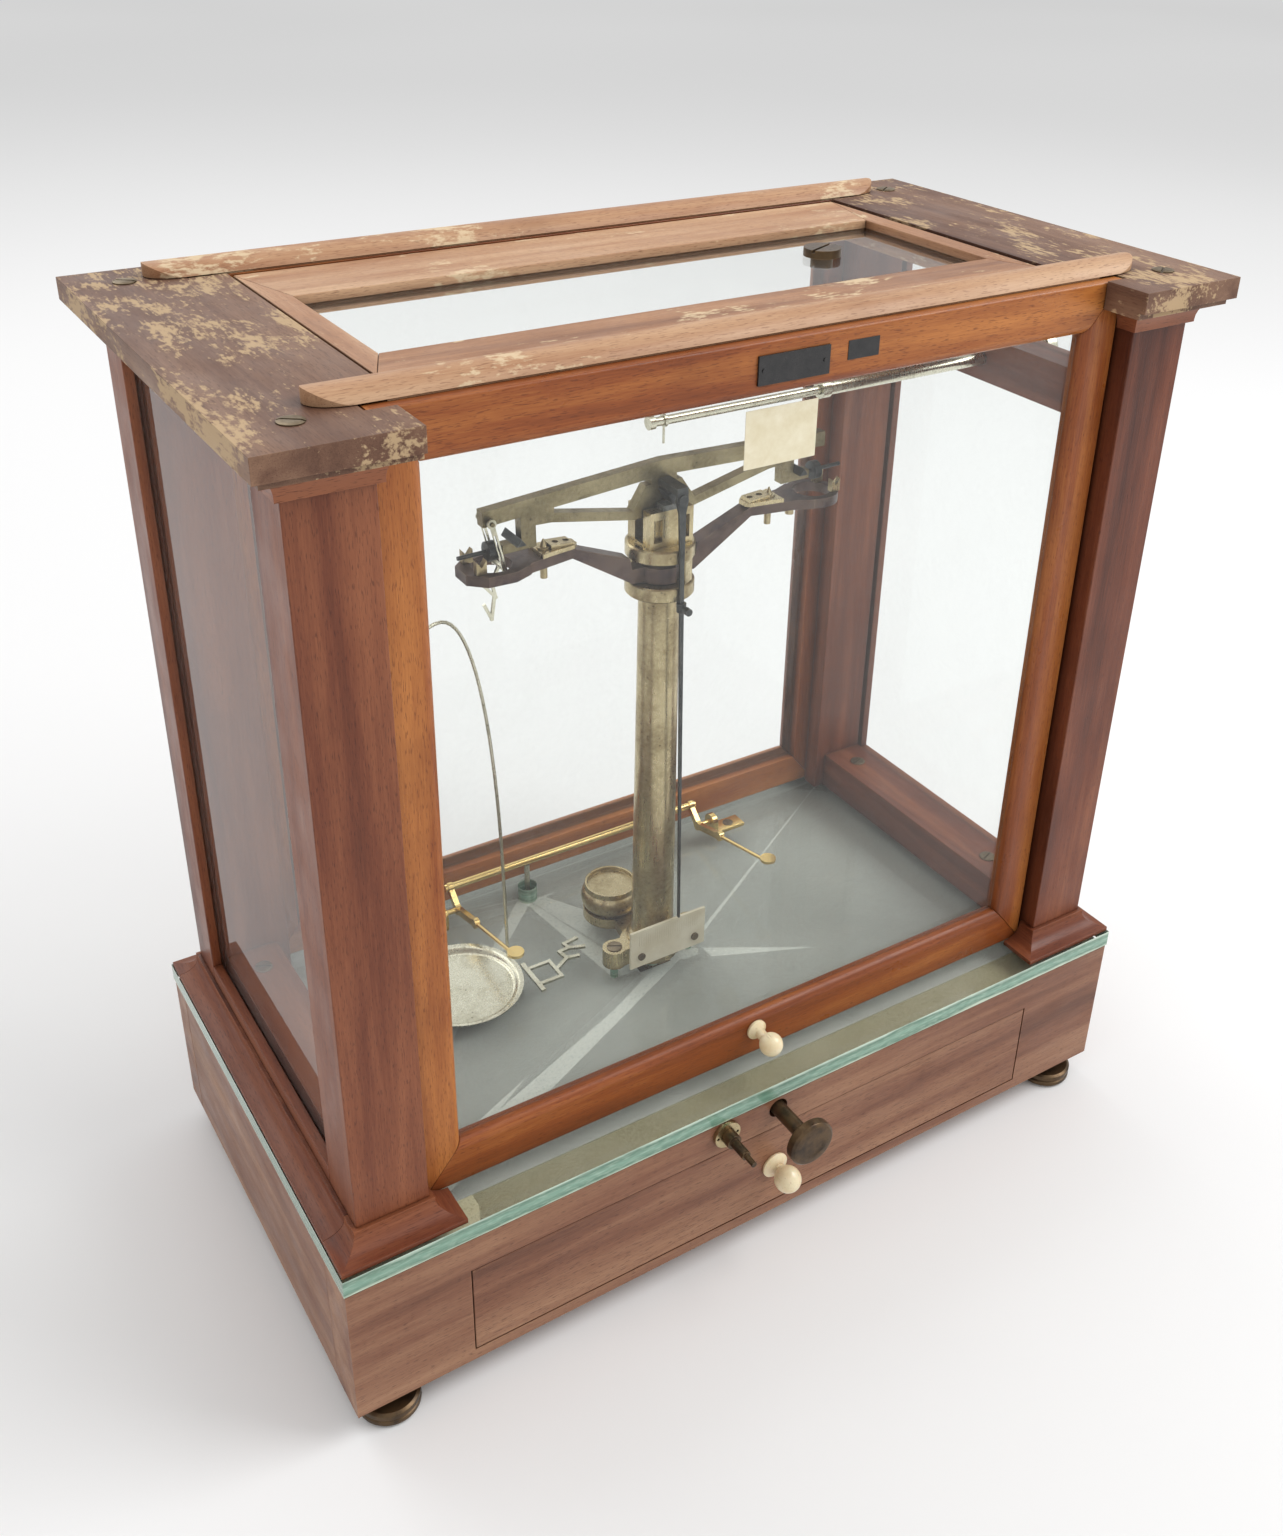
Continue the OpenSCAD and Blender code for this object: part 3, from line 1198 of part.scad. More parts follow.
module stirrup() {
  t = stirrup_t;
  color("silver") place() {
    difference() {
      box(-69.5, -53.5, 3, 19, 0, t);
      box(-67, -55.5, 5, 17, -1, t + 1);
    }
    box(-69.5, -66.9, -1.5, 23.5, 0, t);
    for (r = [[[-53.6, 10.5], [-45, 15.5]], [[-45, 15.5], [-46, 22]], [[-46, 22], [-40, 22.5]],
      [[-45, 15.5], [-38.7, 14.2]], [[-40, 22.5], [-40.6, 26.7]], [[-40.6, 26.7], [-32.5, 27.8]],
      [[-40, 22.5], [-32.2, 19.5]]])
      linear_extrude(t) polygon(strip(r[0], r[1], 2));
  }
}

base_front();
base_sides();
base_back();
base_bottom();
base_deck();
drawer_guides();
lining_front();
lining_floor();
glass_floor();
foot_left();
foot_right();
foot_rear();
drawer_front();
drawer_tray();
drawer_knob();
plinths();
pillars_front();
pillars_rear();
cornices();
end_boards();
side_rails();
rider_rail();
panes();
screws();
lid_frame();
lid_plug();
front_sash();
front_pane();
front_bead();
sash_knob();
number_plate();
rear_sash();
rear_pane();
rear_bead();
counterweights();
column_base();
column();
column_head();
agate_planes();
arrest_frame();
arrest_fittings();
lift_rod();
arrest_spindle();
spindle_hangers();
beam();
knives();
pointer();
nut_left();
nut_right();
hanger();
scale_plate();
level();
pan_arrest();
pan_brackets();
push_pin();
pan_spindle();
rider_sleeve();
rider_rod();
pan();
stirrup();
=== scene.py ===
"""Looks of the analytical balance in its glazed case: finishes, worn edges, labels, light and camera."""

import json
import math

import bmesh
import bpy
from mathutils import Matrix, Vector

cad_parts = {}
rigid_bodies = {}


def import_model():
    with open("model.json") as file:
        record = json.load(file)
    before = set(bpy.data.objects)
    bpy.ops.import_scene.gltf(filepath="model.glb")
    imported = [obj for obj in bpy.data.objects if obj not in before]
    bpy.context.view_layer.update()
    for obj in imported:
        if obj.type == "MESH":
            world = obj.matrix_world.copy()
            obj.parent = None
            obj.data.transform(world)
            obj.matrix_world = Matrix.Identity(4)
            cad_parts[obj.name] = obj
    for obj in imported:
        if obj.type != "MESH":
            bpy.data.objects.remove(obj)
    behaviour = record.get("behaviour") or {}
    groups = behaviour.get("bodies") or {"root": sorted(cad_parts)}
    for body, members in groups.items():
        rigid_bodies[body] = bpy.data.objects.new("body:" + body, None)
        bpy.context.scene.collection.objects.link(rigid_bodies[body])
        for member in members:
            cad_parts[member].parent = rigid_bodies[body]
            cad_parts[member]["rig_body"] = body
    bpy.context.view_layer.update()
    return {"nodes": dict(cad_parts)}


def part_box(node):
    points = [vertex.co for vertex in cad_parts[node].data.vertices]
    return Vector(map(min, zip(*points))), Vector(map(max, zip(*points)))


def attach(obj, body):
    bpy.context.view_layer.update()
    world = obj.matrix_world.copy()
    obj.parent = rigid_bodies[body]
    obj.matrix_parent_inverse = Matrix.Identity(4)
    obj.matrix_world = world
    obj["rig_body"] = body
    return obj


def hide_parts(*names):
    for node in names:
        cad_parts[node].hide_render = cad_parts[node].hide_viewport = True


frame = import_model()
scene = bpy.context.scene

MM = 0.001


# Colours, written as they look on a screen and turned into light values
def screen(red, green, blue):
    light = [c / 255 for c in (red, green, blue)]
    light = [c / 12.92 if c <= 0.04045 else ((c + 0.055) / 1.055) ** 2.4 for c in light]
    return (*light, 1.0)


# Shader building blocks
class Shader:
    """A material with short calls for the nodes that these finishes use."""

    def __init__(self, name):
        self.material = bpy.data.materials.new(name)
        self.material.use_nodes = True
        self.tree = self.material.node_tree
        self.tree.nodes.clear()
        self.output = self.node("OutputMaterial")
        self.coordinates = None

    def node(self, kind, **settings):
        made = self.tree.nodes.new("ShaderNode" + kind)
        for key, value in settings.items():
            setattr(made, key, value)
        return made

    def put(self, value, socket):
        """Links a socket, or sets a plain value."""
        if isinstance(value, bpy.types.NodeSocket):
            self.tree.links.new(value, socket)
        elif value is not None:
            socket.default_value = value

    def place(self):
        """Where a point is: the grain's own coordinates where the piece has them."""
        if self.coordinates is None:
            self.coordinates = self.node("TexCoord").outputs["Object"]
        return self.coordinates

    def grain_place(self):
        self.coordinates = self.node("Attribute", attribute_name="grain").outputs["Vector"]
        return self.coordinates

    def attribute(self, name):
        return self.node("Attribute", attribute_name=name).outputs["Fac"]

    def stretched(self, scales, offset=(0, 0, 0)):
        mapping = self.node("Mapping")
        self.put(self.place(), mapping.inputs["Vector"])
        mapping.inputs["Scale"].default_value = scales
        mapping.inputs["Location"].default_value = offset
        return mapping.outputs["Vector"]

    def noise(self, where, scale=1.0, detail=4.0, roughness=0.55, distortion=0.0):
        made = self.node("TexNoise")
        self.put(where, made.inputs["Vector"])
        made.inputs["Scale"].default_value = scale
        made.inputs["Detail"].default_value = detail
        made.inputs["Roughness"].default_value = roughness
        made.inputs["Distortion"].default_value = distortion
        return made.outputs["Fac"]

    def cells(self, where):
        """How far a point is from the nearest of many scattered points."""
        made = self.node("TexVoronoi", feature="F1")
        self.put(where, made.inputs["Vector"])
        made.inputs["Scale"].default_value = 1.0
        return made.outputs["Distance"]

    def calc(self, kind, first, second=None):
        """One calculation. kind is Blender's name for it."""
        made = self.node("Math", operation=kind)
        for value, socket in zip((first, second), made.inputs):
            self.put(value, socket)
        return made.outputs[0]

    def span(self, value, low, high, to_low=0.0, to_high=1.0):
        """The part of a value between low and high, spread over a new range."""
        made = self.node("MapRange")
        for key, number in zip(("Value", "From Min", "From Max", "To Min", "To Max"),
                               (value, low, high, to_low, to_high)):
            self.put(number, made.inputs[key])
        return made.outputs["Result"]

    def ramp(self, value, *stops):
        made = self.node("ValToRGB")
        self.put(value, made.inputs["Fac"])
        elements = made.color_ramp.elements
        while len(elements) < len(stops):
            elements.new(0.5)
        for element, (position, colour) in zip(elements, stops):
            element.position = position
            element.color = colour
        return made.outputs["Color"]

    def mixed(self, share, first, second, kind="MIX"):
        made = self.node("Mix", data_type="RGBA", blend_type=kind)
        self.put(share, made.inputs["Factor"])
        self.put(first, made.inputs["A"])
        self.put(second, made.inputs["B"])
        return next(s for s in made.outputs if s.type == "RGBA")

    def corner_shade(self, distance, inside=False):
        """Near 1 in the open and less in corners; with inside, less along edges."""
        made = self.node("AmbientOcclusion", inside=inside, samples=4)
        made.inputs["Distance"].default_value = distance
        return made.outputs["AO"]

    def bump(self, height, distance, strength=1.0, after=None):
        made = self.node("Bump")
        made.inputs["Strength"].default_value = strength
        made.inputs["Distance"].default_value = distance
        self.put(height, made.inputs["Height"])
        self.put(after, made.inputs["Normal"])
        return made.outputs["Normal"]

    def surface(self, **sockets):
        """A Principled surface. Words joined by _ name its sockets."""
        made = self.node("BsdfPrincipled")
        for key, value in sockets.items():
            self.put(value, made.inputs[key.replace("_", " ")])
        self.put(made.outputs["BSDF"], self.output.inputs["Surface"])
        return made


# Wood
def wood(name, dark, mid, light, worn=None, wear=0.0, gloss=0.36):
    """Polished mahogany: long soft ribbons, short open pores, painted shade in the corners and rubbed edges.
    """
    s = Shader(name)
    s.grain_place()
    ribbons = s.noise(s.stretched((5, 75, 75)), 1.0, 5, 0.55, 0.4)
    bands = s.noise(s.stretched((1.6, 22, 22)), 1.0, 2, 0.5, 0.6)
    fibre = s.noise(s.stretched((70, 1500, 1500)), 1.0, 3, 0.6)
    pores = s.noise(s.stretched((260, 2300, 2300), (3, 1, 7)), 1.0, 1, 0.4)
    figure = s.calc("ADD", s.calc("MULTIPLY", ribbons, 0.6), s.calc("MULTIPLY", bands, 0.5))
    figure = s.calc("ADD", figure, s.calc("MULTIPLY", fibre, 0.22))
    figure = s.calc("ADD", figure, s.span(s.attribute("seed"), 0, 1, -0.07, 0.07))
    colour = s.ramp(figure, (0.42, dark), (0.62, mid), (0.86, light))
    pore_mask = s.span(pores, 0.60, 0.70)
    colour = s.mixed(s.calc("MULTIPLY", pore_mask, 0.55), colour, dark)
    stains = s.span(s.noise(s.stretched((9, 9, 9)), 1.0, 5, 0.6), 0.56, 0.75)
    colour = s.mixed(s.calc("MULTIPLY", stains, 0.35), colour, dark)
    edge = s.span(s.corner_shade(2.2 * MM, inside=True), 0.35, 0.75, 1, 0)
    rubbed = s.calc("MULTIPLY", edge, s.span(s.noise(s.stretched((50, 120, 120)), 1.0, 4), 0.42, 0.62))
    colour = s.mixed(s.calc("MULTIPLY", rubbed, 0.55), colour, light)
    if worn is not None:
        patch = s.noise(s.stretched((16, 26, 26), (2, 5, 1)), 1.0, 8, 0.72, 0.3)
        specks = s.noise(s.stretched((150, 520, 520)), 1.0, 3, 0.6)
        bare = s.calc("ADD", patch, s.calc("MULTIPLY", specks, 0.35))
        bare = s.span(bare, 0.80 - wear, 0.86 - wear)
        colour = s.mixed(s.calc("MULTIPLY", bare, 0.8), colour, worn)
    # Painted shade: the corners are darkened towards a dark brown where the occlusion finds nearby faces
    corners = s.span(s.corner_shade(7 * MM), 0.25, 0.85)
    colour = s.mixed(s.calc("MULTIPLY", s.calc("SUBTRACT", 1.0, corners), 0.6), colour, screen(45, 22, 14))
    rough = s.span(s.noise(s.stretched((30, 60, 60)), 1.0, 4), 0.3, 0.7, gloss - 0.07, gloss + 0.12)
    if worn is not None:
        rough = s.calc("ADD", rough, s.calc("MULTIPLY", bare, 0.2))
    relief = s.calc("SUBTRACT", s.calc("MULTIPLY", fibre, 0.5), pore_mask)
    normal = s.bump(relief, 0.05 * MM, 0.5)
    normal = s.bump(ribbons, 0.5 * MM, 0.25, normal)
    s.surface(Base_Color=colour, Roughness=rough, Normal=normal, Specular_IOR_Level=0.32,
              Coat_Weight=0.04, Coat_Roughness=0.2)
    return s.material


# Metals
def metal(name, bright, dull, dark, rough=0.25, tarnish=0.5, scratch=1.0):
    """Old lacquered metal: clean where handled, brown in patches, with painted shade in the corners."""
    s = Shader(name)
    clouds = s.noise(s.stretched((45, 45, 45)), 1.0, 6, 0.62, 0.3)
    specks = s.noise(s.stretched((520, 520, 520)), 1.0, 3, 0.6)
    lines = s.noise(s.stretched((900, 900, 60)), 1.0, 2, 0.5)
    age = s.calc("ADD", s.calc("MULTIPLY", clouds, 0.75), s.calc("MULTIPLY", specks, 0.25))
    age = s.span(age, 0.62 - 0.35 * tarnish, 0.80 - 0.28 * tarnish)
    colour = s.mixed(age, bright, dull)
    spots = s.span(s.cells(s.stretched((300, 300, 300))), 0.10, 0.22, 1, 0)
    spots = s.calc("MULTIPLY", spots, s.span(clouds, 0.5, 0.62))
    colour = s.mixed(s.calc("MULTIPLY", spots, 0.7), colour, dark)
    # Painted shade: the corners are darkened towards the dark tarnish colour where the occlusion finds nearby
    # faces
    corners = s.span(s.corner_shade(3 * MM), 0.2, 0.8)
    colour = s.mixed(s.calc("MULTIPLY", s.calc("SUBTRACT", 1.0, corners), 0.75), colour, dark)
    roughness = s.calc("ADD", s.span(lines, 0.2, 0.8, rough - 0.06, rough + 0.08),
                       s.calc("MULTIPLY", age, 0.14))
    normal = s.bump(s.calc("ADD", lines, s.calc("MULTIPLY", specks, 0.4)), 0.02 * MM, 0.5 * scratch)
    s.surface(Base_Color=colour, Metallic=1.0, Roughness=roughness, Normal=normal)
    return s.material


def coated(name, base, edge, rough=0.35):
    """Bronzed or blackened metal, with the colour rubbed off along its edges."""
    s = Shader(name)
    clouds = s.noise(s.stretched((120, 120, 120)), 1.0, 5, 0.6)
    specks = s.noise(s.stretched((900, 900, 900)), 1.0, 2, 0.5)
    rub = s.span(s.corner_shade(0.9 * MM, inside=True), 0.45, 0.75, 1, 0)
    rub = s.calc("MULTIPLY", rub, s.span(clouds, 0.40, 0.58))
    shade = s.mixed(s.span(clouds, 0.3, 0.7, 0, 0.5), base, edge)
    shade = s.mixed(s.calc("MULTIPLY", s.span(clouds, 0.55, 0.8), 0.6), shade, base)
    colour = s.mixed(s.calc("MULTIPLY", rub, 0.85), shade, edge)
    roughness = s.span(specks, 0.2, 0.8, rough - 0.08, rough + 0.1)
    normal = s.bump(specks, 0.02 * MM, 0.5)
    s.surface(Base_Color=colour, Metallic=0.75, Roughness=roughness, Normal=normal)
    return s.material


# Glass
def thin_glass(name, tint, haze):
    """A window pane: clear, with the sky's gloss on it and faint smears of dust."""
    s = Shader(name)
    clear = s.node("BsdfTransparent")
    clear.inputs["Color"].default_value = tint
    gloss = s.node("BsdfGlossy")
    gloss.inputs["Roughness"].default_value = 0.02
    dust = s.node("BsdfDiffuse")
    dust.inputs["Color"].default_value = screen(225, 225, 222)
    smears = s.noise(s.stretched((9, 9, 5)), 1.0, 6, 0.65, 0.8)
    grit = s.noise(s.stretched((420, 420, 420)), 1.0, 2, 0.6)
    amount = s.calc("MULTIPLY", s.span(smears, 0.35, 0.8, 0.35, 1.0), s.span(grit, 0.3, 0.8, 0.6, 1.3))
    amount = s.calc("MULTIPLY", amount, haze)
    veil = s.node("MixShader")
    s.put(amount, veil.inputs[0])
    s.put(clear.outputs[0], veil.inputs[1])
    s.put(dust.outputs[0], veil.inputs[2])
    fresnel = s.node("Fresnel")
    fresnel.inputs["IOR"].default_value = 1.32
    front = s.calc("SUBTRACT", 1.0, s.node("NewGeometry").outputs["Backfacing"])
    whole = s.node("MixShader")
    s.put(s.calc("MULTIPLY", fresnel.outputs[0], front), whole.inputs[0])
    s.put(veil.outputs[0], whole.inputs[1])
    s.put(gloss.outputs[0], whole.inputs[2])
    s.put(whole.outputs[0], s.output.inputs["Surface"])
    return s.material


def glass_edge(name):
    """The cut edge of thick plate glass: its own green, banded by painted reflections, with painted
    highlights pale near its corners, and small chips.
    """
    s = Shader(name)
    along = s.noise(s.stretched((26, 26, 150)), 1.0, 4, 0.6, 0.4)
    fine = s.noise(s.stretched((160, 160, 900)), 1.0, 3, 0.6)
    height = s.node("SeparateXYZ")
    s.put(s.place(), height.inputs[0])
    low, high = (corner.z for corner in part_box("glass_floor"))
    level = s.span(height.outputs["Z"], low, high)
    lively = s.calc("ADD", level, s.span(along, 0.2, 0.8, -0.16, 0.16))
    # Painted reflections and highlights: the green is banded lighter and darker by height, pale at the top
    # and bottom
    colour = s.ramp(lively, (0.0, screen(196, 212, 190)), (0.16, screen(96, 132, 112)),
                    (0.5, screen(128, 166, 146)), (0.82, screen(92, 128, 108)),
                    (1.0, screen(206, 226, 208)))
    colour = s.mixed(s.span(fine, 0.45, 0.8, 0, 0.5), colour, screen(190, 212, 192))
    s.surface(Base_Color=colour, Roughness=0.08, Coat_Weight=0.3, Coat_Roughness=0.03,
              Normal=s.bump(along, 0.15 * MM, 0.4))
    return s.material


# Cloth, bone, card and enamel
def cloth(name, base, pale, dark):
    """Felted cotton: a close weave under small slubs and faded places."""
    s = Shader(name)
    weft = s.noise(s.stretched((900, 4200, 900)), 1.0, 1, 0.4)
    warp = s.noise(s.stretched((4200, 900, 900)), 1.0, 1, 0.4)
    weave = s.calc("MAXIMUM", weft, warp)
    slubs = s.noise(s.stretched((650, 650, 650)), 1.0, 3, 0.7)
    fade = s.noise(s.stretched((14, 14, 14)), 1.0, 5, 0.6, 0.4)
    colour = s.mixed(s.span(fade, 0.35, 0.7, 0, 0.8), base, pale)
    colour = s.mixed(s.span(slubs, 0.52, 0.68, 0, 0.7), colour, dark)
    colour = s.mixed(s.span(slubs, 0.28, 0.42, 0.6, 0), colour, pale)
    colour = s.mixed(s.span(weave, 0.45, 0.75, 0, 0.35), colour, pale)
    s.surface(Base_Color=colour, Roughness=0.95, Sheen_Weight=0.25, Sheen_Roughness=0.5,
              Normal=s.bump(s.calc("ADD", weave, slubs), 0.2 * MM, 0.7))
    return s.material


def bone(name):
    """Turned bone: cream, with painted brown shade in the hollows and fine dark lines along it."""
    s = Shader(name)
    lines = s.noise(s.stretched((900, 120, 900)), 1.0, 3, 0.6)
    stain = s.noise(s.stretched((110, 110, 110)), 1.0, 5, 0.6)
    colour = s.mixed(s.span(stain, 0.35, 0.75, 0, 0.8), screen(240, 226, 190), screen(216, 186, 132))
    colour = s.mixed(s.span(lines, 0.6, 0.75, 0, 0.5), colour, screen(150, 110, 66))
    # Painted shade: brown in the hollows, found by occlusion
    hollow = s.span(s.corner_shade(4 * MM), 0.3, 0.85, 0.85, 0)
    colour = s.mixed(hollow, colour, screen(150, 96, 48))
    s.surface(Base_Color=colour, Roughness=0.3, Subsurface_Weight=0.08, Subsurface_Scale=0.002,
              Coat_Weight=0.3, Coat_Roughness=0.12, Normal=s.bump(lines, 0.03 * MM, 0.5))
    return s.material


def plain_stuff(name, base, other, rough=0.5, scale=80, relief=0.05):
    """Card, enamel, stone, lead and unpolished wood: a base colour with soft patches."""
    s = Shader(name)
    clouds = s.noise(s.stretched((scale,) * 3), 1.0, 6, 0.62, 0.2)
    grit = s.noise(s.stretched((scale * 14,) * 3), 1.0, 3, 0.6)
    colour = s.mixed(s.span(clouds, 0.35, 0.7), base, other)
    colour = s.mixed(s.span(grit, 0.62, 0.78, 0, 0.5), colour, other)
    roughness = s.span(grit, 0.3, 0.7, rough - 0.06, rough + 0.08)
    s.surface(Base_Color=colour, Roughness=roughness, Normal=s.bump(grit, relief * MM, 0.5))
    return s.material


FINISHES = {
    "mahogany": wood("mahogany", screen(66, 28, 15), screen(112, 58, 36), screen(152, 92, 60)),
    "sash_wood": wood("sash_wood", screen(92, 40, 16), screen(142, 74, 32), screen(194, 124, 62),
                      gloss=0.32),
    "base_wood": wood("base_wood", screen(78, 44, 30), screen(128, 84, 62), screen(170, 128, 98),
                      gloss=0.4),
    "worn_top": wood("worn_top", screen(120, 78, 52), screen(170, 124, 90), screen(206, 168, 132),
                     worn=screen(222, 200, 164), wear=0.05, gloss=0.45),
    "end_wood": wood("end_wood", screen(74, 44, 32), screen(110, 78, 60), screen(146, 112, 88),
                     worn=screen(196, 168, 130), wear=0.12, gloss=0.5),
    "deal": wood("deal", screen(150, 110, 66), screen(190, 152, 104), screen(216, 184, 138), gloss=0.55),
    "brass": metal("brass", screen(196, 180, 142), screen(146, 128, 92), screen(66, 52, 34), 0.26, 0.55),
    "old_brass": metal("old_brass", screen(156, 144, 112), screen(118, 106, 78), screen(58, 48, 34),
                       0.34, 0.6),
    "screw_brass": metal("screw_brass", screen(140, 126, 104), screen(104, 90, 72), screen(46, 36, 26),
                         0.42, 0.7),
    "bright_brass": metal("bright_brass", screen(236, 206, 138), screen(196, 156, 88),
                          screen(92, 62, 30), 0.18, 0.2),
    "bronze": coated("bronze", screen(58, 48, 40), screen(142, 112, 74), 0.34),
    "purple_bronze": coated("purple_bronze", screen(66, 52, 54), screen(142, 118, 100), 0.38),
    "black_steel": coated("black_steel", screen(34, 38, 44), screen(108, 108, 104), 0.34),
    "nickel": metal("nickel", screen(214, 210, 190), screen(170, 164, 142), screen(92, 84, 68), 0.24,
                    0.4, 0.6),
    "lead": plain_stuff("lead", screen(96, 98, 102), screen(128, 130, 132), 0.6),
    "bone": bone("bone"),
    "enamel": plain_stuff("enamel", screen(226, 220, 198), screen(206, 196, 168), 0.42, 60),
    "agate": plain_stuff("agate", screen(70, 74, 72), screen(120, 122, 116), 0.12, 300, 0.0),
    "cream_cloth": cloth("cream_cloth", screen(198, 190, 152), screen(226, 220, 190),
                         screen(150, 140, 104)),
    # The floor lining is the same felt as the front strip: its pale grey is a painted reflection of the sash
    # glass
    "grey_cloth": cloth("grey_cloth", screen(218, 220, 212), screen(234, 234, 226), screen(184, 190, 184)),
    "window_glass": thin_glass("window_glass", (0.985, 0.992, 0.988, 1), 0.05),
}
PLATE_TOP = thin_glass("plate_face", (0.98, 0.992, 0.985, 1), 0.03)
PLATE_EDGE = glass_edge("plate_edge")
BLACK_LABEL = plain_stuff("black_label", screen(22, 22, 24), screen(44, 42, 42), 0.3, 200, 0.02)
PAPER_LABEL = plain_stuff("paper_label", screen(238, 230, 204), screen(222, 210, 176), 0.7, 90)


# Pieces made from the frame's nodes: the same forms, with eased edges and a grain of their own
def islands(bm):
    """The solids of a mesh, each as a list of faces."""
    left = set(bm.faces)
    while left:
        start = left.pop()
        found, todo = [start], [start]
        while todo:
            for edge in todo.pop().edges:
                for face in edge.link_faces:
                    if face in left:
                        left.discard(face)
                        found.append(face)
                        todo.append(face)
        yield found


def span_of(faces):
    points = [v.co for f in faces for v in f.verts]
    low = Vector([min(p[i] for p in points) for i in range(3)])
    high = Vector([max(p[i] for p in points) for i in range(3)])
    return low, high


# Edges that turn by more than this are eased
SHARP_EDGE = math.radians(32)


def dress(node, finish, ease=0.5, grain=None):
    """A node's form again, with eased edges. grain is an axis, "wrap" round a post, or the longest side's."""
    source = frame["nodes"][node]
    bm = bmesh.new()
    bm.from_mesh(source.data)
    bmesh.ops.remove_doubles(bm, verts=bm.verts, dist=0.002 * MM)
    bmesh.ops.dissolve_limit(bm, angle_limit=math.radians(0.6), verts=bm.verts, edges=bm.edges)
    if ease:
        edges = [e for e in bm.edges if e.is_manifold and e.calc_face_angle(0) > SHARP_EDGE]
        bmesh.ops.bevel(bm, geom=edges, offset=ease * MM, segments=2, profile=0.6, affect="EDGES",
                        clamp_overlap=True)
    place = bm.loops.layers.float_vector.new("grain")
    seed = bm.loops.layers.float.new("seed")
    order = sorted(islands(bm), key=lambda faces: tuple(round(c, 4) for c in span_of(faces)[0]))
    for number, faces in enumerate(order):
        low, high = span_of(faces)
        size = high - low
        # Each solid is cut from another place in the wood, and has its own shade
        share = (number * 0.618 + len(node) * 0.37) % 1.0
        for face in faces:
            if grain == "wrap":
                axis = 1 if abs(face.normal.x) > abs(face.normal.y) else 0
            elif grain is None:
                axis = max(range(3), key=lambda i: size[i])
            else:
                axis = grain
            for loop in face.loops:
                co = loop.vert.co
                turned = Vector((co[axis], co[(axis + 1) % 3], co[(axis + 2) % 3]))
                loop[place] = turned + Vector((share * 3, share * 1.7, number * 0.21))
                loop[seed] = share
            face.smooth = True
    mesh = bpy.data.meshes.new(node + "_dressed")
    bm.to_mesh(mesh)
    bm.free()
    mesh.materials.append(FINISHES[finish])
    piece = bpy.data.objects.new(node + "_dressed", mesh)
    scene.collection.objects.link(piece)
    soften = piece.modifiers.new("soft_edges", "WEIGHTED_NORMAL")
    soften.weight = 80
    soften.keep_sharp = True
    mesh.set_sharp_from_angle(angle=math.radians(50))
    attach(piece, source["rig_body"])
    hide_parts(node)
    return piece


# Wooden nodes: finish, width of the eased edge in millimetres and direction of the grain
WOODEN = {
    "base_front": ("base_wood", 0.7, 0), "base_sides": ("base_wood", 0.7, 1),
    "base_back": ("base_wood", 0.7, 0),
    "base_bottom": ("deal", 0.3, 0), "base_deck": ("deal", 0.2, 0), "drawer_guides": ("deal", 0.3, 1),
    "drawer_front": ("base_wood", 0.6, 0), "drawer_tray": ("deal", 0.3, None),
    "plinths": ("mahogany", 0.5, "wrap"), "cornices": ("mahogany", 0.4, "wrap"),
    "pillars_front": ("mahogany", 0.6, 2), "pillars_rear": ("mahogany", 0.6, 2),
    "end_boards": ("end_wood", 0.8, 1), "side_rails": ("mahogany", 0.5, None),
    "rider_rail": ("mahogany", 0.5, 1), "lid_frame": ("worn_top", 0.5, None),
    "front_sash": ("sash_wood", 0.5, None), "rear_sash": ("sash_wood", 0.5, None),
    "front_bead": ("worn_top", 0.4, 0), "rear_bead": ("worn_top", 0.4, 0),
}
# Nodes of metal, stone, bone and enamel: finish and width of the eased edge in millimetres
FITTINGS = {
    "column_base": ("brass", 0.3), "column": ("brass", 0.2), "column_head": ("brass", 0.25),
    "arrest_frame": ("purple_bronze", 0.3), "arrest_fittings": ("brass", 0.15),
    "lift_rod": ("nickel", 0.15),
    "arrest_spindle": ("bronze", 0.3), "spindle_hangers": ("brass", 0.15), "beam": ("old_brass", 0.25),
    "knives": ("black_steel", 0.1), "pointer": ("black_steel", 0.1), "nut_left": ("black_steel", 0.15),
    "nut_right": ("black_steel", 0.15), "hanger": ("nickel", 0.1), "level": ("brass", 0.25),
    "pan_arrest": ("bright_brass", 0.2), "pan_brackets": ("bright_brass", 0.2), "push_pin": ("nickel", 0.1),
    "pan_spindle": ("bronze", 0.2), "rider_sleeve": ("nickel", 0.15), "rider_rod": ("nickel", 0.1),
    "pan": ("nickel", 0), "stirrup": ("nickel", 0.1), "screws": ("screw_brass", 0.1),
    "lid_plug": ("bronze", 0.25), "foot_left": ("bronze", 0.2), "foot_right": ("bronze", 0.2),
    "foot_rear": ("bronze", 0.2), "agate_planes": ("agate", 0.1), "counterweights": ("lead", 0.3),
    "drawer_knob": ("bone", 0.2), "sash_knob": ("bone", 0.2), "scale_plate": ("enamel", 0),
}
for node, (finish, ease, grain) in WOODEN.items():
    dress(node, finish, ease, grain)
for node, (finish, ease) in FITTINGS.items():
    dress(node, finish, ease)
dress("lining_front", "cream_cloth", 0)
# The floor lining: felt in a pale grey, a painted reflection of the sash glass
dress("lining_floor", "grey_cloth", 0)
for node in ("panes", "front_pane", "rear_pane"):
    dress(node, "window_glass", 0)
plate = dress("number_plate", "enamel", 0.2)
plate.data.materials[0] = BLACK_LABEL


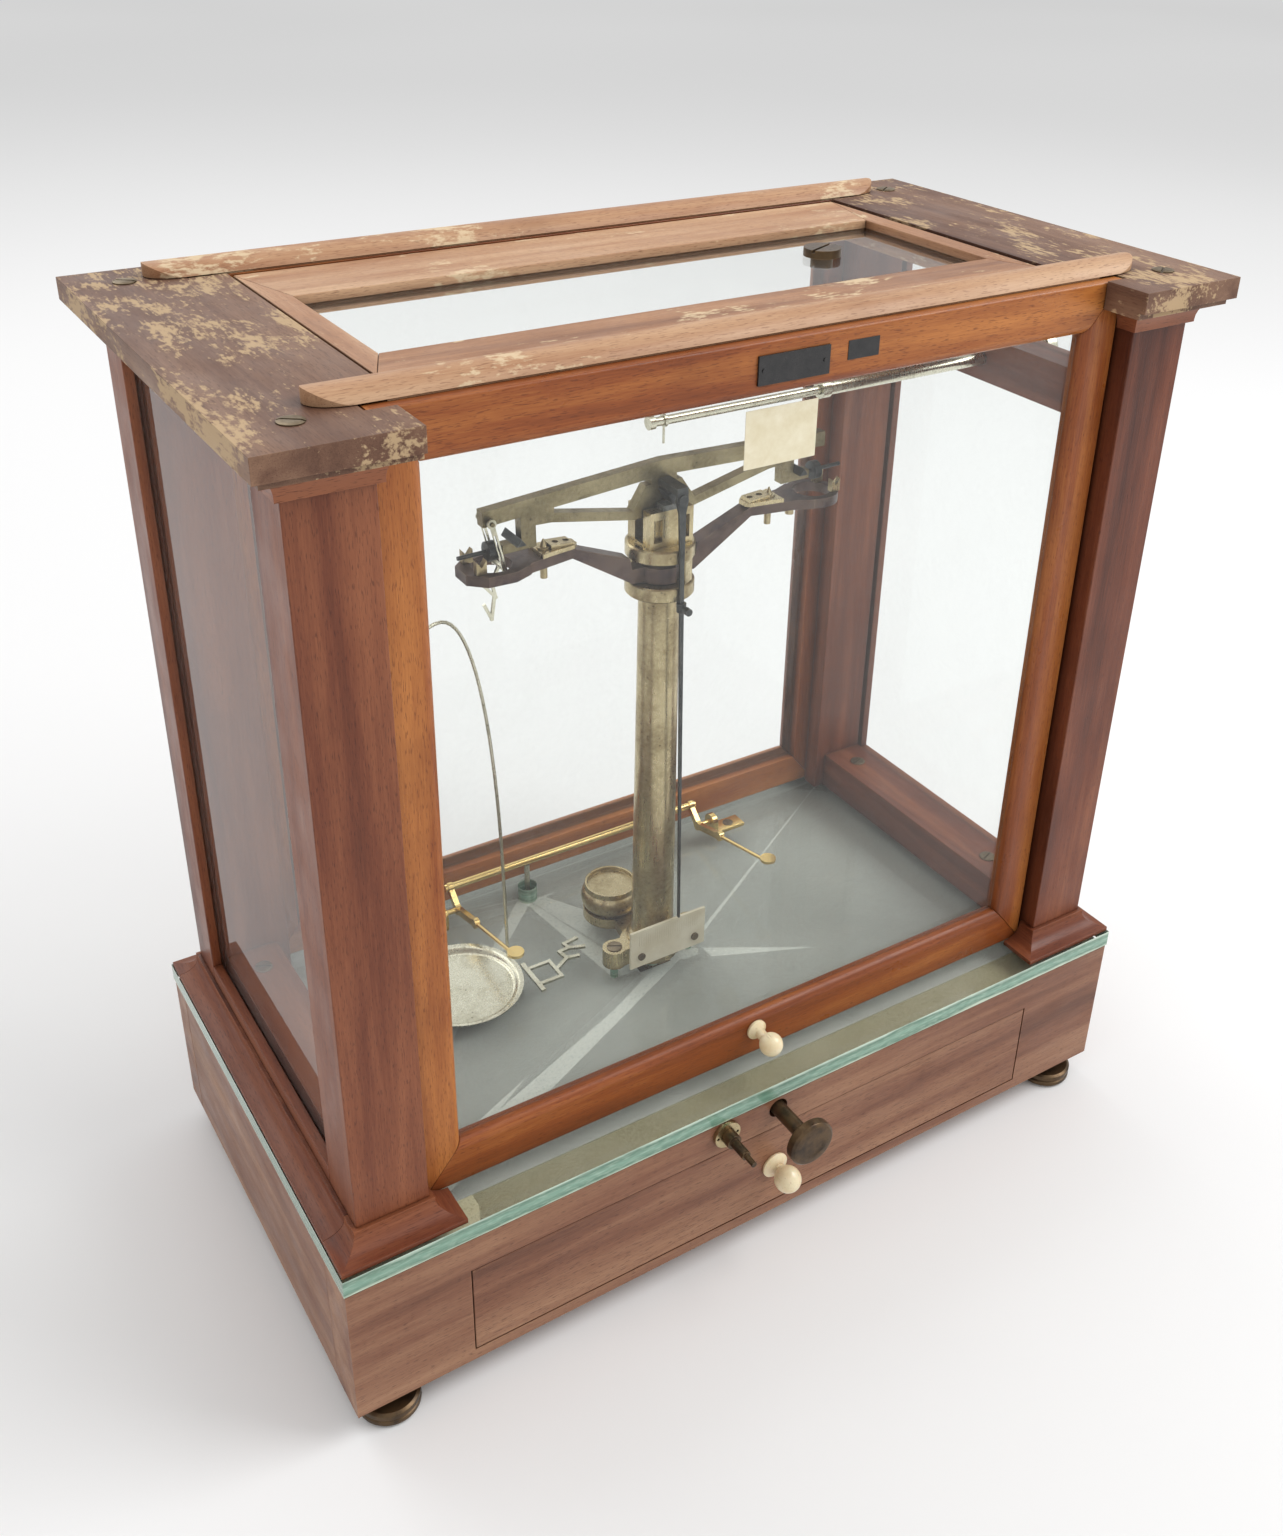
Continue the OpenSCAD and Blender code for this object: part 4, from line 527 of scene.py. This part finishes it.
def label(name, front, across, upward, finish):
    """A bare label on the face at front. across and upward are where it begins and ends, in millimetres."""
    bm = bmesh.new()
    bmesh.ops.create_cube(bm, size=1.0)
    size = Vector((across[1] - across[0], 0.3, upward[1] - upward[0])) * MM
    middle = Vector((sum(across) / 2 * MM, front - 0.1 * MM, sum(upward) / 2 * MM))
    for vert in bm.verts:
        vert.co = Vector([a * b for a, b in zip(vert.co, size)]) + middle
    bmesh.ops.bevel(bm, geom=bm.edges[:], offset=0.08 * MM, segments=2, profile=0.5, affect="EDGES")
    mesh = bpy.data.meshes.new(name)
    bm.to_mesh(mesh)
    bm.free()
    mesh.materials.append(finish)
    piece = bpy.data.objects.new(name, mesh)
    scene.collection.objects.link(piece)
    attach(piece, frame["nodes"]["front_sash"]["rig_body"])


# Cream paper on the front pane, and a small black label on the sash's top rail
label("pane_label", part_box("front_pane")[0].y, (-26, 10), (422, 447), PAPER_LABEL)
label("sash_label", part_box("number_plate")[1].y, (19, 35), (463, 471), BLACK_LABEL)

# The plate-glass floor: clear faces and green cut edges
floor_glass = dress("glass_floor", "window_glass", 0.5)
floor_glass.data.materials[0] = PLATE_TOP
floor_glass.data.materials.append(PLATE_EDGE)
for face in floor_glass.data.polygons:
    face.material_index = 1 if abs(face.normal.z) < 0.95 else 0


# Floor, light and camera
SKY_LIGHT = 0.74
SKY_SHOWN = (0.88, 0.88, 0.885, 1)
LAMPS_AIM = Vector((0, 0, 0.2))
FLOOR_REACH = 30.0


def studio():
    floor = bpy.data.meshes.new("studio_floor")
    reach = FLOOR_REACH
    floor.from_pydata([(-reach, -reach, 0), (reach, -reach, 0), (reach, reach, 0), (-reach, reach, 0)],
                      [], [(0, 1, 2, 3)])
    ground = bpy.data.objects.new("studio_floor", floor)
    scene.collection.objects.link(ground)
    s = Shader("studio_floor")
    tone = s.noise(s.stretched((0.5, 0.5, 0.5)), 1.0, 1, 0.4)
    colour = s.mixed(s.span(tone, 0.3, 0.7), screen(238, 238, 238), screen(243, 243, 243))
    s.surface(Base_Color=colour, Roughness=0.9, Specular_IOR_Level=0.0)
    floor.materials.append(s.material)

    world = bpy.data.worlds.new("studio")
    scene.world = world
    world.use_nodes = True
    tree = world.node_tree
    tree.nodes.clear()
    output = tree.nodes.new("ShaderNodeOutputWorld")
    path = tree.nodes.new("ShaderNodeLightPath")

    def larger(first, second):
        made = tree.nodes.new("ShaderNodeMath")
        made.operation = "MAXIMUM"
        tree.links.new(first, made.inputs[0])
        tree.links.new(second, made.inputs[1])
        return made.outputs[0]

    seen = larger(path.outputs["Is Camera Ray"], path.outputs["Is Glossy Ray"])
    seen = larger(seen, path.outputs["Is Transmission Ray"])
    light = tree.nodes.new("ShaderNodeBackground")
    light.inputs["Color"].default_value = (1, 1, 1, 1)
    light.inputs["Strength"].default_value = SKY_LIGHT
    shown = tree.nodes.new("ShaderNodeBackground")
    shown.inputs["Color"].default_value = SKY_SHOWN
    mix = tree.nodes.new("ShaderNodeMixShader")
    tree.links.new(seen, mix.inputs[0])
    tree.links.new(light.outputs[0], mix.inputs[1])
    tree.links.new(shown.outputs[0], mix.inputs[2])
    tree.links.new(mix.outputs[0], output.inputs["Surface"])

    def lamp(name, place, size, power):
        data = bpy.data.lights.new(name, "AREA")
        data.shape = "SQUARE"
        data.size = size
        data.energy = power
        made = bpy.data.objects.new(name, data)
        made.location = place
        aim = LAMPS_AIM - Vector(place)
        made.rotation_euler = aim.to_track_quat("-Z", "Y").to_euler()
        scene.collection.objects.link(made)

    lamp("key_lamp", (1.5, -0.9, 1.9), 1.4, 32)
    lamp("back_lamp", (-0.4, 1.6, 2.0), 1.8, 14)


def camera():
    """The photograph's own view: place, turn, lens and the crop's shift."""
    frame_w, frame_h = 1283, 1536
    focal_px = 1540.15
    centre_px = (662.56, 657.40)
    right = Vector((0.845100, -0.534238, 0.019911))
    down = Vector((-0.239502, -0.411636, -0.879315))
    ahead = Vector((0.477960, 0.738340, -0.475824))
    place = Vector((-0.369601, -0.552135, 0.651612))
    data = bpy.data.cameras.new("camera")
    data.sensor_width = 36.0
    data.sensor_fit = "AUTO"
    data.lens = focal_px * data.sensor_width / frame_h
    data.shift_x = (frame_w / 2 - centre_px[0]) / frame_h
    data.shift_y = (centre_px[1] - frame_h / 2) / frame_h
    data.clip_start = 0.02
    data.clip_end = 200
    made = bpy.data.objects.new("camera", data)
    turn = Matrix((right, -down, -ahead)).transposed().to_4x4()
    made.matrix_world = Matrix.Translation(place) @ turn
    scene.collection.objects.link(made)
    scene.camera = made


studio()
camera()
scene.view_settings.view_transform = "Standard"
